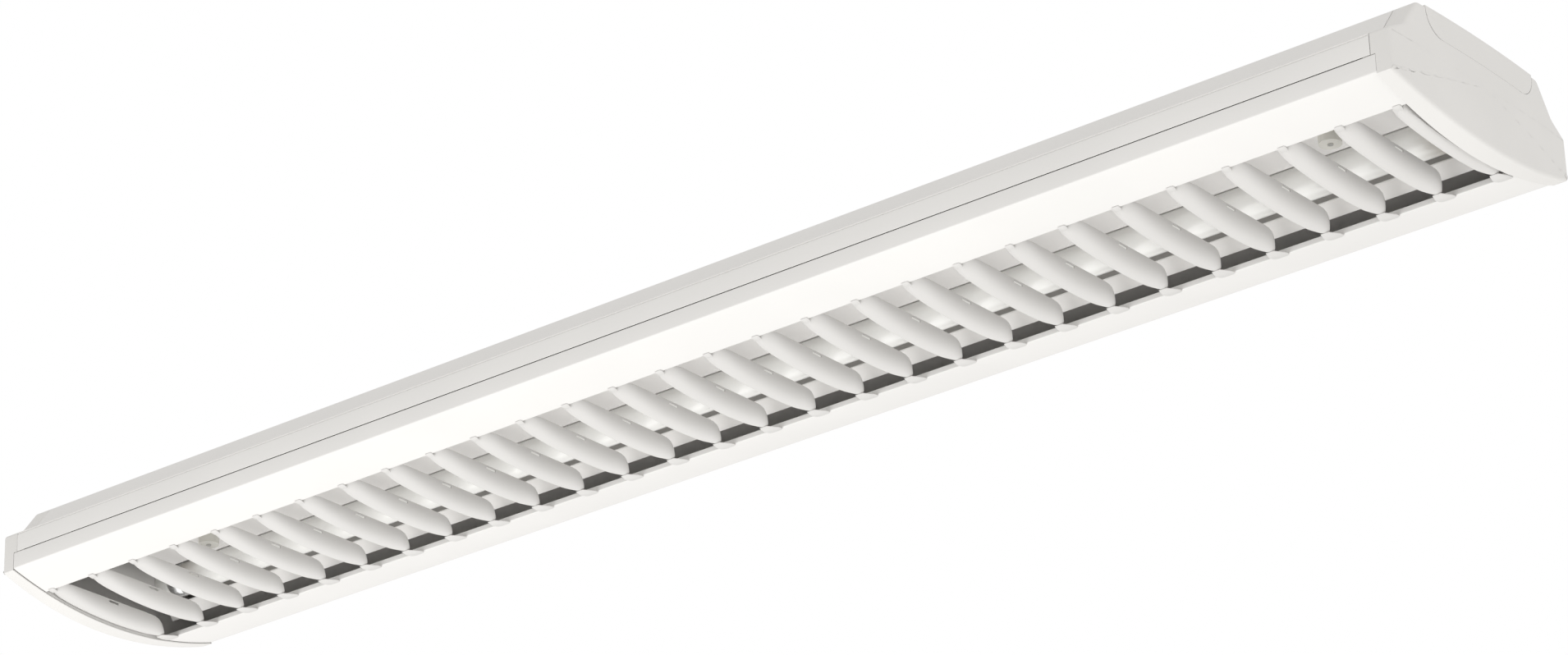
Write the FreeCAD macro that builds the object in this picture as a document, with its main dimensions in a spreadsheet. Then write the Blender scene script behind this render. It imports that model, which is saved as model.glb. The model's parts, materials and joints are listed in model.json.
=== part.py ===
"""Surface-mounted luminaire for two straight lamps, with a cross-blade louvre that hangs on a hinge.

X runs along the luminaire, Y across it and Z up. The origin is the centre of the ceiling face, which
is the top of the housing at Z = 0, so everything below it has a negative Z. Lengths are millimetres.
The near side is -Y and the far side, where the louvre is hinged, is +Y.
"""
import FreeCAD, Part
import math
import os
import Sketcher

Vector = FreeCAD.Vector
doc = FreeCAD.newDocument("louvre_luminaire")

# ---------------------------------------------------------------- driving dimensions

DRIVING = (
    # overall outline
    ("fixture_width", 217, "over the side walls"),
    ("roof_width", 148, "flat ceiling face"),
    ("waist_width", 182, "over the foot of the upper slopes"),
    ("waist_drop", 22, "ceiling face to the foot of the slope"),
    ("shoulder_drop", 31, "ceiling face to the top of the side wall"),
    ("seam_drop", 46.6, "ceiling face to the lower edge of the housing"),
    ("band_drop", 60, "ceiling face to the sharp bottom corner"),
    ("belly_drop", 77, "ceiling face to the lowest point of the curved underside"),
    ("roof_radius", 5, "bend between the roof and the slope"),
    ("waist_radius", 9, "bend between the slope and the shoulder"),
    ("shoulder_radius", 4, "bend between the shoulder and the side wall"),
    ("housing_sheet", 0.8, "steel of the housing"),
    ("fit_gap", 0.3, "clearance between neighbouring pieces"),
    # end caps
    ("end_room", 40.3, "lamp's cap face to the middle of the end face"),
    ("cap_reach", 20, "cap seen beyond the end of the housing"),
    ("cap_wall", 2.2, "wall of the moulded cap"),
    ("cap_bow", 4.5, "bulge of the end face in plan"),
    ("rim_width", 16.5, "lower rim of the cap, along X"),
    ("rim_proud", 1.2, "rim below the louvre's underside"),
    ("rim_lip", 5.5, "height of the stiffening lip on the rim"),
    ("lip_wall", 1.5, "thickness of that lip"),
    ("spigot_wall", 1.6, "wall of the collar"),
    ("boss_radius", 4, "screw boss inside the cap"),
    ("boss_half_span", 70, "screw bosses from the middle"),
    ("boss_drop", 37, "screw bosses below the ceiling face"),
    ("screw_radius", 1.7, "cap screw shank"),
    ("screw_head_radius", 3.2, "cap screw head"),
    ("screw_head_height", 2, "cap screw head"),
    ("screw_reach", 9, "cap screw into its boss"),
    ("blank_width", 132, "cable entry blank in the end face"),
    ("blank_height", 19.8, "cable entry blank in the end face"),
    ("blank_radius", 17, "its lower corners"),
    ("blank_wall", 1.8, "its thickness"),
    ("blank_gap", 0.25, "groove round it"),
    # lamps
    ("lamp_length", 1199.4, "face to face of the lamp caps"),
    ("lamp_diameter", 26, "over the lamp caps"),
    ("lamp_half_span", 44, "lamp axis from the middle"),
    ("lamp_drop", 33, "lamp axis below the ceiling face"),
    ("glass_wall", 0.8, "wall of the lamp tube"),
    ("lamp_cap_length", 16, "metal cap of the lamp"),
    ("lamp_cap_wall", 0.35, "side wall of the metal cap"),
    ("lamp_face_wall", 1, "end plate of the metal cap"),
    ("pin_spacing", 12.7, "between the contact pins"),
    ("pin_diameter", 2.35, "contact pin"),
    ("pin_length", 7.1, "contact pin beyond the cap"),
    # lampholders
    ("holder_width", 24, "lampholder body"),
    ("holder_thickness", 11.9, "lampholder body along X"),
    ("holder_top_drop", 5.5, "top of the lampholder below the ceiling face"),
    ("rotor_radius", 8.2, "turning rotor in the lampholder"),
    ("rotor_thickness", 7.3, "turning rotor"),
    ("rotor_floor", 0.6, "rotor behind the ends of the pins"),
    ("pin_slot", 2.8, "slot for the pins"),
    ("bracket_sheet", 1.2, "lampholder bracket"),
    ("bracket_half_width", 86, "lampholder bracket"),
    ("bracket_height", 43, "lampholder bracket below its foot"),
    ("bracket_foot", 12, "foot of the bracket under the roof, along X"),
    ("bracket_foot_width", 60, "foot of the bracket"),
    # reflector tray
    ("tray_sheet", 0.6, "steel of the reflector tray"),
    ("tray_drop", 15, "wings of the tray below the ceiling face"),
    ("tray_hat_drop", 28.5, "raised middle of the tray"),
    ("tray_hat_half", 24, "middle of the tray"),
    ("tray_wing_inner", 30, "inner end of each wing"),
    ("tray_wing_outer", 68, "outer end of each wing"),
    ("tray_skirt_half", 80, "lower edge of the tray"),
    ("tray_skirt_drop", 42, "lower edge of the tray"),
    ("tray_end_gap", 1.4, "tray to the lampholder faces"),
    ("stud_radius", 2, "welded stud that carries the tray"),
    ("stud_half_span", 520, "studs from the middle"),
    ("stud_length", 36, "stud below the roof"),
    ("knob_radius", 8, "round nut under the tray"),
    ("knob_height", 7, "round nut"),
    # control gear
    ("ballast_offset", 50, "end of the ballast's base from the tray's stud"),
    ("ballast_length", 360, "ballast case"),
    ("ballast_width", 30, "ballast case"),
    ("ballast_height", 21, "ballast case over the base"),
    ("ballast_sheet", 0.7, "ballast cover"),
    ("base_sheet", 1, "ballast base plate"),
    ("base_ear", 20, "base plate beyond the case, each end"),
    ("board_wall", 1.6, "circuit board"),
    ("board_drop", 3, "circuit board below the base plate"),
    ("board_margin", 2, "circuit board to the side walls of the case"),
    ("choke_half", 9, "half of a choke on the board"),
    ("choke_height", 12, "choke on the board"),
    ("can_radius", 6, "capacitor on the board"),
    ("can_length", 22, "capacitor on the board"),
    ("connector_length", 12, "ballast connector block"),
    ("connector_height", 12, "ballast connector block"),
    ("terminal_length", 30, "mains terminal block"),
    ("terminal_width", 24, "mains terminal block"),
    ("terminal_height", 16, "mains terminal block"),
    ("terminal_centre", 22, "middle of the terminal block along X"),
    ("pole_pitch", 7, "between the poles of the terminal block"),
    ("pole_row", 8, "row of terminal screws from the middle of the block"),
    ("well_radius", 2.2, "well over a terminal screw"),
    ("well_depth", 4, "well over a terminal screw"),
    ("entry_centre", 60, "cable entry hole along X"),
    ("entry_radius", 10, "cable entry hole in the roof"),
    ("grommet_bore", 5.5, "radius of the cable bore in the grommet"),
    ("grommet_flange", 13, "radius of the grommet's inner flange"),
    ("grommet_flange_wall", 2, "that flange"),
    ("earth_centre", 90, "earth stud along X"),
    ("earth_length", 11, "earth stud"),
    ("nut_radius", 4, "earth nut over its corners"),
    ("nut_height", 3, "earth nut"),
    ("nut_drop", 5, "lower face of the earth nut below the roof"),
    ("fixing_half_x", 450, "ceiling fixing holes from the middle, along X"),
    ("fixing_half_y", 45, "ceiling fixing holes from the middle, along Y"),
    ("fixing_radius", 3.25, "ceiling fixing holes"),
    ("lead_radius", 1.1, "insulated internal lead"),
    ("lead_drop", 9, "leads below the ceiling face"),
    ("lead_lane", 34, "first lead from the middle"),
    ("lead_pitch", 4, "between leads side by side"),
    ("clip_length", 8, "lead clip along X"),
    ("clip_width", 12, "lead clip"),
    ("clip_height", 11, "lead clip"),
    ("clip_end_gap", 40, "right lead clips from the lampholders"),
    ("clip_inner", 180, "inner lead clips from the middle"),
    # louvre
    ("seam_gap", 0.3, "housing to the louvre rails"),
    ("rail_sheet", 1, "rail of the louvre"),
    ("rail_end_gap", 0.6, "rails to the caps' rims"),
    ("rail_return", 13, "top return of the rail"),
    ("opening_near", 73, "inner edge of the near rail's bottom flange"),
    ("opening_far", 57, "inner edge of the far rail's bottom flange"),
    ("flange_lip", 3.4, "upturned edge of the bottom flange"),
    ("cell_count", 28, "cells of the louvre"),
    ("blade_inset", 24, "middle of the end blades from the luminaire's ends"),
    ("blade_half_width", 10, "blade at its open top"),
    ("blade_foot_half", 9.2, "blade where its rounded bottom begins"),
    ("blade_foot_rise", 4.5, "height of that place over the bottom"),
    ("blade_height", 12.4, "blade, bottom to its level top edge"),
    ("blade_sheet", 0.8, "wall of the blade"),
    ("blade_end_gap", 0.7, "near end of the blade to the rail's edge"),
    ("blade_far_gap", 12, "far end of the blade to the rail's edge"),
    ("blade_taper", 22, "length over which the blade narrows to its ends"),
    ("blade_near_half", 7, "half width of the blade at its near end"),
    ("blade_far_half", 3.2, "half width of the blade at its far end"),
    ("blade_far_rise", 1.8, "height of the blade that is left at its far end"),
    ("blade_fall_radius", 34, "curve by which the top edge falls to the far end"),
    ("blade_slot_half", 5, "half length of the slot in the blade's flank"),
    ("blade_slot_height", 1.8, "slot in the blade's flank"),
    ("blade_slot_rise", 9.6, "slot over the bottom"),
    ("blade_slot_middle", 17, "middle of the slot from the middle, on the near side"),
    ("end_blade_reach", 6, "outer wall of an end blade beyond its middle"),
    ("tab_width", 14, "tab that hooks a blade on the rail"),
    ("tab_reach", 2.6, "tab under the flange"),
    ("tab_wall", 0.7, "lower face of the tab below the flange's underside"),
    ("tab_gap", 0.15, "upper face of the tab to the flange"),
    ("tab_root", 2, "tab inside the end of the blade"),
    ("reflector_sheet", 0.6, "side reflector of the louvre"),
    ("reflector_behind", 2, "lower edge of the side reflector beyond the opening"),
    ("reflector_low_drop", 57.4, "lower edge of the side reflector"),
    ("reflector_lean", 8, "upper edge of the side reflector nearer to the middle"),
    ("reflector_web_half", 97, "outer edge of its web"),
    ("reflector_end_gap", 5, "reflector to the end of the rail"),
    ("hinge_radius", 2.5, "rolled hinge bead on the far rail"),
    ("hinge_pin_radius", 1.2, "hinge pin"),
    ("hinge_running_gap", 0.05, "pin in the bead"),
    ("hinge_pin_inside", 15, "pin inside the bead"),
    ("hinge_pin_outside", 5.5, "pin inside the cap"),
    ("hinge_boss_radius", 2.4, "boss of the pin in the cap"),
    ("catch_half_span", 450, "spring catches from the middle"),
    ("catch_width", 16, "spring catch along X"),
    ("catch_sheet", 0.8, "spring catch"),
    ("catch_leaf", 9, "leaf of the spring catch"),
    ("catch_play", 0.8, "outer leaf to the tongue"),
    ("tongue_half", 99, "tongue on the near rail, from the middle"),
    ("tongue_height", 10, "tongue over the rail"),
)


class Size:
    """A length that is a number and, at the same time, the expression that gives it."""

    def __init__(self, value, text):
        self.value = value
        self.text = text

    @staticmethod
    def of(other):
        return other if isinstance(other, Size) else Size(float(other), repr(float(other)))

    def __add__(self, other):
        other = Size.of(other)
        return Size(self.value + other.value, f"({self.text} + {other.text})")

    def __sub__(self, other):
        other = Size.of(other)
        return Size(self.value - other.value, f"({self.text} - {other.text})")

    def __mul__(self, other):
        other = Size.of(other)
        return Size(self.value * other.value, f"({self.text} * {other.text})")

    def __truediv__(self, other):
        other = Size.of(other)
        return Size(self.value / other.value, f"({self.text} / {other.text})")

    def __radd__(self, other):
        return Size.of(other) + self

    def __rsub__(self, other):
        return Size.of(other) - self

    def __rmul__(self, other):
        return Size.of(other) * self

    def __neg__(self):
        return Size(-self.value, f"(-1 * {self.text})")

    def __float__(self):
        return self.value

    def root(self):
        return Size(math.sqrt(self.value), f"sqrt({self.text})")


class Sizes:
    """The driving dimensions, read from the sheet under their own names."""


def fill_sheet():
    table = doc.addObject("Spreadsheet::Sheet", "sizes")
    for row, (alias, number, note) in enumerate(DRIVING, 1):
        table.set(f"A{row}", alias)
        table.set(f"B{row}", str(number))
        table.setAlias(f"B{row}", alias)
        table.set(f"C{row}", note)
    doc.recompute()
    named = Sizes()
    for alias, _number, _note in DRIVING:
        setattr(named, alias, Size(float(getattr(table, alias)), f"sizes.{alias}"))
    return named


s = fill_sheet()

# lengths that follow from the driving dimensions
fixture_length = s.lamp_length + 2 * s.end_room
half_length = fixture_length / 2
half_width = s.fixture_width / 2
housing_half = half_length - s.cap_reach
rim_inner = half_length - s.rim_width
rail_half = rim_inner - s.rail_end_gap
belly_sag = s.belly_drop - s.band_drop
belly_radius = (half_width * half_width + belly_sag * belly_sag) / (2 * belly_sag)
belly_centre = belly_radius - s.belly_drop
bow_radius = (half_width * half_width + s.cap_bow * s.cap_bow) / (2 * s.cap_bow)
lamp_radius = s.lamp_diameter / 2
lamp_half = s.lamp_length / 2
holder_face = lamp_half + s.fit_gap
holder_back = holder_face + s.holder_thickness
bracket_outer = holder_back + s.bracket_sheet
rail_top = -s.seam_drop - s.seam_gap
hinge_y = half_width - s.hinge_radius
hinge_z = rail_top - s.hinge_radius
blade_pitch = (fixture_length - 2 * s.blade_inset) / s.cell_count
ballast_centre = -s.stud_half_span + s.ballast_offset + s.base_ear + s.ballast_length / 2
roof_under = -s.housing_sheet

parts = {}


def node(thing, name):
    """Name a finished sub-part; the name is also its file's."""
    thing.Label = name
    parts[name] = thing
    return thing


# ---------------------------------------------------------------- ways of making a solid

def bind(thing, prop, size):
    if isinstance(size, Size):
        setattr(thing, prop, size.value)
        thing.setExpression(prop, size.text)
    else:
        setattr(thing, prop, size)


def place(thing, x=0, y=0, z=0, turn=None):
    spots = (Size.of(x), Size.of(y), Size.of(z))
    thing.Placement = FreeCAD.Placement(Vector(*(spot.value for spot in spots)), turn or FreeCAD.Rotation())
    for axis, spot in zip("xyz", spots):
        if "sizes." in spot.text:
            thing.setExpression(f"Placement.Base.{axis}", spot.text)


def block(x_range, y_range, z_range, name="block"):
    """A box between two places on each axis, the lower one first."""
    thing = doc.addObject("Part::Box", name)
    ranges = (x_range, y_range, z_range)
    for prop, (low, high) in zip(("Length", "Width", "Height"), ranges):
        bind(thing, prop, Size.of(high) - low)
    place(thing, *(low for low, _high in ranges))
    return thing


ALONG_X = FreeCAD.Rotation(Vector(0, 1, 0), 90)
ALONG_Z = FreeCAD.Rotation()


def rod(radius, start, length, turn=ALONG_X, name="rod"):
    """A cylinder from the place start, along X unless turned."""
    thing = doc.addObject("Part::Cylinder", name)
    bind(thing, "Radius", Size.of(radius))
    bind(thing, "Height", Size.of(length))
    place(thing, *start, turn=turn)
    return thing


def cut(base, tool, name="cut"):
    thing = doc.addObject("Part::Cut", name)
    thing.Base = base
    thing.Tool = tool
    return thing


def fuse(pieces, name="fuse"):
    thing = doc.addObject("Part::MultiFuse", name)
    thing.Shapes = list(pieces)
    return thing


def common(base, tool, name="common"):
    thing = doc.addObject("Part::MultiCommon", name)
    thing.Shapes = [base, tool]
    return thing


def group(pieces, name):
    """Several separate solids in one node."""
    thing = doc.addObject("Part::Compound", name)
    thing.Links = list(pieces)
    return thing


def mirrored(piece, normal, name="mirror"):
    """The piece on the other side of the plane through the origin."""
    thing = doc.addObject("Part::Mirroring", name)
    thing.Source = piece
    thing.Normal = normal
    return thing


ACROSS_X = Vector(1, 0, 0)
ACROSS_Y = Vector(0, 1, 0)


def lock(sketch, geometry, end, point):
    """Hold the end of a line at a point whose two places are sizes."""
    for kind, axis, place_on in (("DistanceX", -2, point[0]), ("DistanceY", -1, point[1])):
        spot = Size.of(place_on)
        if "sizes." not in spot.text and spot.value == 0:
            sketch.addConstraint(Sketcher.Constraint("PointOnObject", geometry, end, axis))
            continue
        index = sketch.addConstraint(Sketcher.Constraint(kind, -1, 1, geometry, end, spot.value))
        if "sizes." in spot.text:
            sketch.setExpression(f"Constraints[{index}]", spot.text)


def arc_between(start, end, radius, bulge):
    """The arc from start to end; a bulge of 1 lies to the left of the way there, -1 to the right."""
    a, b = Vector(*map(float, start), 0), Vector(*map(float, end), 0)
    chord = b - a
    left = Vector(-chord.y, chord.x, 0).normalize()
    reach = math.sqrt(float(radius) ** 2 - (chord.Length / 2) ** 2)
    centre = (a + b) * 0.5 - left * (reach * bulge)
    if bulge > 0:
        a, b = b, a
    angles = [math.atan2(p.y - centre.y, p.x - centre.x) for p in (a, b)]
    if angles[1] < angles[0]:
        angles[1] += 2 * math.pi
    circle = Part.Circle(centre, Vector(0, 0, 1), float(radius))
    return Part.ArcOfCircle(circle, angles[0], angles[1])


def draw(sketch, points, arcs=None, closed=True):
    """Lines from point to point; arcs gives {line number: (radius, bulge)} for those that are round."""
    arcs = arcs or {}
    count = len(points) if closed else len(points) - 1
    first = sketch.GeometryCount
    starts, ends = [], []
    for number in range(count):
        here, there = points[number], points[(number + 1) % len(points)]
        if number in arcs:
            radius, bulge = arcs[number]
            sketch.addGeometry(arc_between(here, there, radius, bulge), False)
            starts.append(2 if bulge > 0 else 1)
        else:
            flat = [Vector(*map(float, spot), 0) for spot in (here, there)]
            sketch.addGeometry(Part.LineSegment(*flat), False)
            starts.append(1)
        ends.append(3 - starts[-1])
    for number in range(count):
        if closed or number + 1 < count:
            after = (number + 1) % count
            sketch.addConstraint(Sketcher.Constraint(
                "Coincident", first + number, ends[number], first + after, starts[after]))
        lock(sketch, first + number, starts[number], points[number])
        if number in arcs:
            radius = Size.of(arcs[number][0])
            index = sketch.addConstraint(Sketcher.Constraint("Radius", first + number, radius.value))
            sketch.setExpression(f"Constraints[{index}]", radius.text)
    if not closed:
        lock(sketch, first + count - 1, ends[-1], points[-1])


SECTION = FreeCAD.Rotation(Vector(0, 1, 0), Vector(0, 0, 1), Vector(1, 0, 0), "XYZ")


def bar(points, x_range, arcs=None, name="bar"):
    """A solid of one cross-section, drawn in Y and Z, between two places along X."""
    sketch = doc.addObject("Sketcher::SketchObject", name + "_section")
    place(sketch, x_range[0], turn=SECTION)
    draw(sketch, points, arcs)
    thing = doc.addObject("Part::Extrusion", name)
    thing.Base = sketch
    thing.DirMode = "Custom"
    thing.Dir = Vector(1, 0, 0)
    thing.Solid = True
    bind(thing, "LengthFwd", Size.of(x_range[1]) - x_range[0])
    return thing


def slab(points, z_range, arcs=None, name="slab"):
    """A solid of one plan outline, drawn in X and Y, between two heights."""
    sketch = doc.addObject("Sketcher::SketchObject", name + "_plan")
    place(sketch, z=z_range[0])
    draw(sketch, points, arcs)
    thing = doc.addObject("Part::Extrusion", name)
    thing.Base = sketch
    thing.DirMode = "Custom"
    thing.Dir = Vector(0, 0, 1)
    thing.Solid = True
    bind(thing, "LengthFwd", Size.of(z_range[1]) - z_range[0])
    return thing


def sheet_bar(points, thickness, x_range, name="sheet"):
    """Folded sheet: an open section drawn in Y and Z, thickened to one side, along X."""
    sketch = doc.addObject("Sketcher::SketchObject", name + "_section")
    place(sketch, x_range[0], turn=SECTION)
    draw(sketch, points, closed=False)
    face = doc.addObject("Part::Offset2D", name + "_face")
    face.Source = sketch
    bind(face, "Value", thickness)
    face.Fill = True
    face.Mode = "Skin"
    face.Join = "Intersection"
    thing = doc.addObject("Part::Extrusion", name)
    thing.Base = face
    thing.DirMode = "Custom"
    thing.Dir = Vector(1, 0, 0)
    thing.Solid = True
    bind(thing, "LengthFwd", Size.of(x_range[1]) - x_range[0])
    return thing


def edges_along_x(shape, places):
    """Names of the edges along X that pass nearest to the given places in Y and Z."""
    chosen = []
    for y, z in places:
        nearest = None
        for number, edge in enumerate(shape.Edges, 1):
            box = edge.BoundBox
            if box.YLength > 0.01 or box.ZLength > 0.01:
                continue
            gap = math.hypot(box.YMin - float(y), box.ZMin - float(z))
            if nearest is None or gap < nearest[0]:
                nearest = (gap, f"Edge{number}")
        chosen.append(nearest[1])
    return chosen


# ---------------------------------------------------------------- the outline that caps and housing share

def upper_outline(inset=0, foot=None):
    """Roof, slopes, shoulders and side walls, from the far foot over the roof to the near foot."""
    foot = -s.seam_drop if foot is None else foot
    half = [(half_width - inset, foot), (half_width - inset, -s.shoulder_drop - inset / 2),
            (s.waist_width / 2 - inset / 2, -s.waist_drop - inset),
            (s.roof_width / 2 - inset / 2, 0 - Size.of(inset))]
    return half + [(-y, z) for y, z in reversed(half)]


def rounded(outline, name):
    """Round the six bends of an outline's bar, each pair with its own radius."""
    thing = outline
    bends = ((1, s.shoulder_radius), (2, s.waist_radius), (3, s.roof_radius))
    corners = upper_outline()
    for place_number, radius in bends:
        doc.recompute()
        spots = [corners[place_number], corners[-1 - place_number]]
        fillet = doc.addObject("Part::Fillet", f"{name}_bend_{place_number}")
        fillet.Base = thing
        fillet.Edges = [(int(edge[4:]), radius.value, radius.value)
                        for edge in edges_along_x(thing.Shape, spots)]
        thing = fillet
    return thing


def make_housing_shell():
    body = doc.addObject("PartDesign::Body", "housing_body")
    doc.recompute()
    plane = [item for item in body.Origin.OriginFeatures if item.Role == "YZ_Plane"][0]
    sketch = body.newObject("Sketcher::SketchObject", "housing_section")
    sketch.AttachmentSupport = (plane, [""])
    sketch.MapMode = "FlatFace"
    corners = upper_outline()
    draw(sketch, corners)
    pad = body.newObject("PartDesign::Pad", "housing_block")
    pad.Profile = sketch
    pad.SideType = "Symmetric"
    bind(pad, "Length", 2 * housing_half)
    solid = pad
    for corner, radius in ((1, s.shoulder_radius), (2, s.waist_radius), (3, s.roof_radius)):
        doc.recompute()
        fillet = body.newObject("PartDesign::Fillet", f"housing_bend_{corner}")
        spots = [corners[corner], corners[-1 - corner]]
        fillet.Base = (solid, edges_along_x(solid.Shape, spots))
        bind(fillet, "Radius", radius)
        solid = fillet
    doc.recompute()
    shell = body.newObject("PartDesign::Thickness", "housing_sheet_metal")
    openings = [f"Face{number}" for number, face in enumerate(solid.Shape.Faces, 1)
                if face.BoundBox.XLength < 0.01 or face.BoundBox.ZMax < -float(s.seam_drop) + 0.01]
    shell.Base = (solid, openings)
    bind(shell, "Value", s.housing_sheet)
    shell.Reversed = True
    doc.recompute()
    roof = [item for item in body.Origin.OriginFeatures if item.Role == "XY_Plane"][0]
    holes = body.newObject("Sketcher::SketchObject", "roof_holes")
    holes.AttachmentSupport = (roof, [""])
    holes.MapMode = "FlatFace"
    spots = [(x, y, s.fixing_radius) for x in (-s.fixing_half_x, s.fixing_half_x)
             for y in (-s.fixing_half_y, s.fixing_half_y)]
    spots.append((s.entry_centre, Size.of(0), s.entry_radius + s.fit_gap / 2))
    for number, (x, y, radius) in enumerate(spots):
        holes.addGeometry(Part.Circle(Vector(float(x), float(y), 0), Vector(0, 0, 1), float(radius)), False)
        lock(holes, number, 3, (x, y))
        index = holes.addConstraint(Sketcher.Constraint("Radius", number, float(radius)))
        holes.setExpression(f"Constraints[{index}]", radius.text)
    pocket = body.newObject("PartDesign::Pocket", "roof_openings")
    pocket.Profile = holes
    pocket.SideType = "Symmetric"
    bind(pocket, "Length", 4 * s.housing_sheet)
    before = shell.Shape.Volume
    doc.recompute()
    removed = before - pocket.Shape.Volume
    wanted = sum(math.pi * float(radius) ** 2 for _x, _y, radius in spots) * float(s.housing_sheet)
    if abs(removed - wanted) > 0.02 * wanted:
        raise ValueError(f"roof openings remove {removed:.1f} instead of {wanted:.1f}")
    return node(body, "housing_shell")


# ---------------------------------------------------------------- end caps

def full_outline(inset, floor_rise):
    """The closed outline of a cap: the upper outline, and below it the curved underside."""
    inset = Size.of(inset)
    corner = -s.band_drop - s.rim_proud + floor_rise
    return upper_outline(inset, corner)


def cap_solid(inset, x_range, floor_rise, name):
    radius = belly_radius
    outline = full_outline(inset, floor_rise)
    return bar(outline, x_range, {len(outline) - 1: (radius, -1)}, name)


def bow_drum(inset, name):
    """The upright drum whose side is the bulging end face, or the face behind it."""
    radius = bow_radius - inset
    height = s.belly_drop + 40
    return rod(radius, (half_length - bow_radius, 0, -height + 20), height, ALONG_Z, name)


def make_end_cap():
    """The right end cap; the left one is its mirror image."""
    outer = rounded(cap_solid(0, (housing_half, half_length + s.cap_bow), 0, "cap_block"), "cap")
    outer = common(outer, bow_drum(0, "cap_face_drum"), "cap_bowed")
    below = block((housing_half - 1, rim_inner), (-half_width - 1, half_width + 1),
                  (-s.belly_drop - 10, -s.seam_drop), "below_seam")
    outer = cut(outer, below, "cap_outer")
    lip_face = rim_inner + s.lip_wall
    hollow = common(cap_solid(s.cap_wall, (lip_face, half_length), s.cap_wall, "cap_hollow"),
                    bow_drum(s.cap_wall, "cap_inner_drum"), "cap_hollow_bowed")
    mouth = cap_solid(s.cap_wall, (housing_half - 1, lip_face), s.rim_lip, "cap_mouth")
    shell = cut(cut(outer, hollow, "cap_shell_hollow"), mouth, "cap_shell")
    collar_inset = s.housing_sheet + s.fit_gap
    collar_range = (bracket_outer + s.fit_gap, housing_half + 2)
    collar_foot = -s.seam_drop + s.spigot_wall
    collar = cut(rounded_collar(collar_inset, collar_range, collar_foot, "collar_block"),
                 rounded_collar(collar_inset + s.spigot_wall, (collar_range[0] - 1, collar_range[1] + 1),
                                collar_foot - 5, "collar_hollow"), "collar")
    boss_length = half_length - s.cap_wall / 2 - bracket_outer - s.fit_gap
    bosses = [rod(s.boss_radius, (bracket_outer + s.fit_gap, side * s.boss_half_span, -s.boss_drop),
                  boss_length, name="cap_boss") for side in (-1, 1)]
    pin_boss = rod(s.hinge_boss_radius, (rim_inner, hinge_y, hinge_z), s.hinge_pin_outside + 2,
                   name="pin_boss")
    cap = fuse([shell, collar, *bosses, pin_boss], "cap_joined")
    cap = common(cap, bow_drum(0, "cap_limit_drum"), "cap_trimmed")
    holes = [rod(s.screw_radius, (bracket_outer - 1, side * s.boss_half_span, -s.boss_drop),
                 s.screw_reach + 2, name="boss_bore") for side in (-1, 1)]
    holes.append(rod(s.hinge_pin_radius, (rim_inner - 1, hinge_y, hinge_z),
                     s.hinge_pin_outside + 1, name="pin_bore"))
    holes.append(blank_plate(0, "blank_opening"))
    cap = cut(cap, fuse(holes, "cap_holes"), "end_cap")
    return cap


def rounded_collar(inset, x_range, foot, name):
    return rounded(bar(upper_outline(inset, foot), x_range, name=name), name)


def blank_plate(gap, name):
    """The round-cornered plate of the cable entry blank, wider than the wall along X."""
    half = s.blank_width / 2 - gap
    low = -s.blank_height + gap
    corner = s.blank_radius - gap
    points = [(half, 0), (half, low + corner), (half - corner, low),
              (-half + corner, low), (-half, low + corner), (-half, 0)]
    arcs = {1: (corner, 1), 3: (corner, 1)}
    return bar(points, (half_length - s.cap_bow - s.cap_wall, half_length + 1), arcs, name)


def make_entry_blank():
    plate = common(blank_plate(s.blank_gap, "blank_block"), bow_drum(0, "blank_face_drum"), "blank_bowed")
    return cut(plate, bow_drum(s.blank_wall, "blank_back_drum"), "entry_blank")


def make_end_pieces():
    cap = make_end_cap()
    blank = make_entry_blank()
    node(cap, "end_cap_right")
    node(mirrored(cap, ACROSS_X), "end_cap_left")
    node(blank, "entry_blank_right")
    node(mirrored(blank, ACROSS_X), "entry_blank_left")
    screws = []
    for side in (-1, 1):
        axis = (side * s.boss_half_span, -s.boss_drop)
        shank = rod(s.screw_radius, (holder_back, *axis), s.bracket_sheet + s.screw_reach,
                    name="cap_screw_shank")
        head = rod(s.screw_head_radius, (holder_back - s.screw_head_height, *axis), s.screw_head_height,
                   name="cap_screw_head")
        screws.append(fuse([shank, head], "cap_screw"))
    right = group(screws, "cap_screws_right")
    node(right, "cap_screws_right")
    node(mirrored(right, ACROSS_X), "cap_screws_left")
    pin_start = rim_inner - s.rail_end_gap - s.hinge_pin_inside
    pin = rod(s.hinge_pin_radius, (pin_start, hinge_y, hinge_z),
              s.rail_end_gap + s.hinge_pin_inside + s.hinge_pin_outside - 1, name="hinge_pin")
    node(pin, "hinge_pin_right")
    node(mirrored(pin, ACROSS_X), "hinge_pin_left")


# ---------------------------------------------------------------- lampholders and their brackets

def make_bracket():
    """The right bracket: an upright plate between the lampholders and the cap, with a foot on the roof."""
    top = roof_under
    low = top - s.bracket_height
    slope_half = s.roof_width / 2 - 6
    points = [(slope_half, top), (s.bracket_half_width, -s.waist_drop - 3), (s.bracket_half_width, low),
              (-s.bracket_half_width, low), (-s.bracket_half_width, -s.waist_drop - 3), (-slope_half, top)]
    plate = bar(points, (holder_back, bracket_outer), name="bracket_plate")
    foot = block((holder_back - s.bracket_foot, holder_back),
                 (-s.bracket_foot_width / 2, s.bracket_foot_width / 2),
                 (top - s.bracket_sheet, top), "bracket_foot_plate")
    holes = [rod(s.screw_radius, (holder_back - 1, side * s.boss_half_span, -s.boss_drop),
                 s.bracket_sheet + 2, name="bracket_hole") for side in (-1, 1)]
    return cut(fuse([plate, foot], "bracket_blank"), fuse(holes, "bracket_holes"), "lampholder_bracket")


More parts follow.
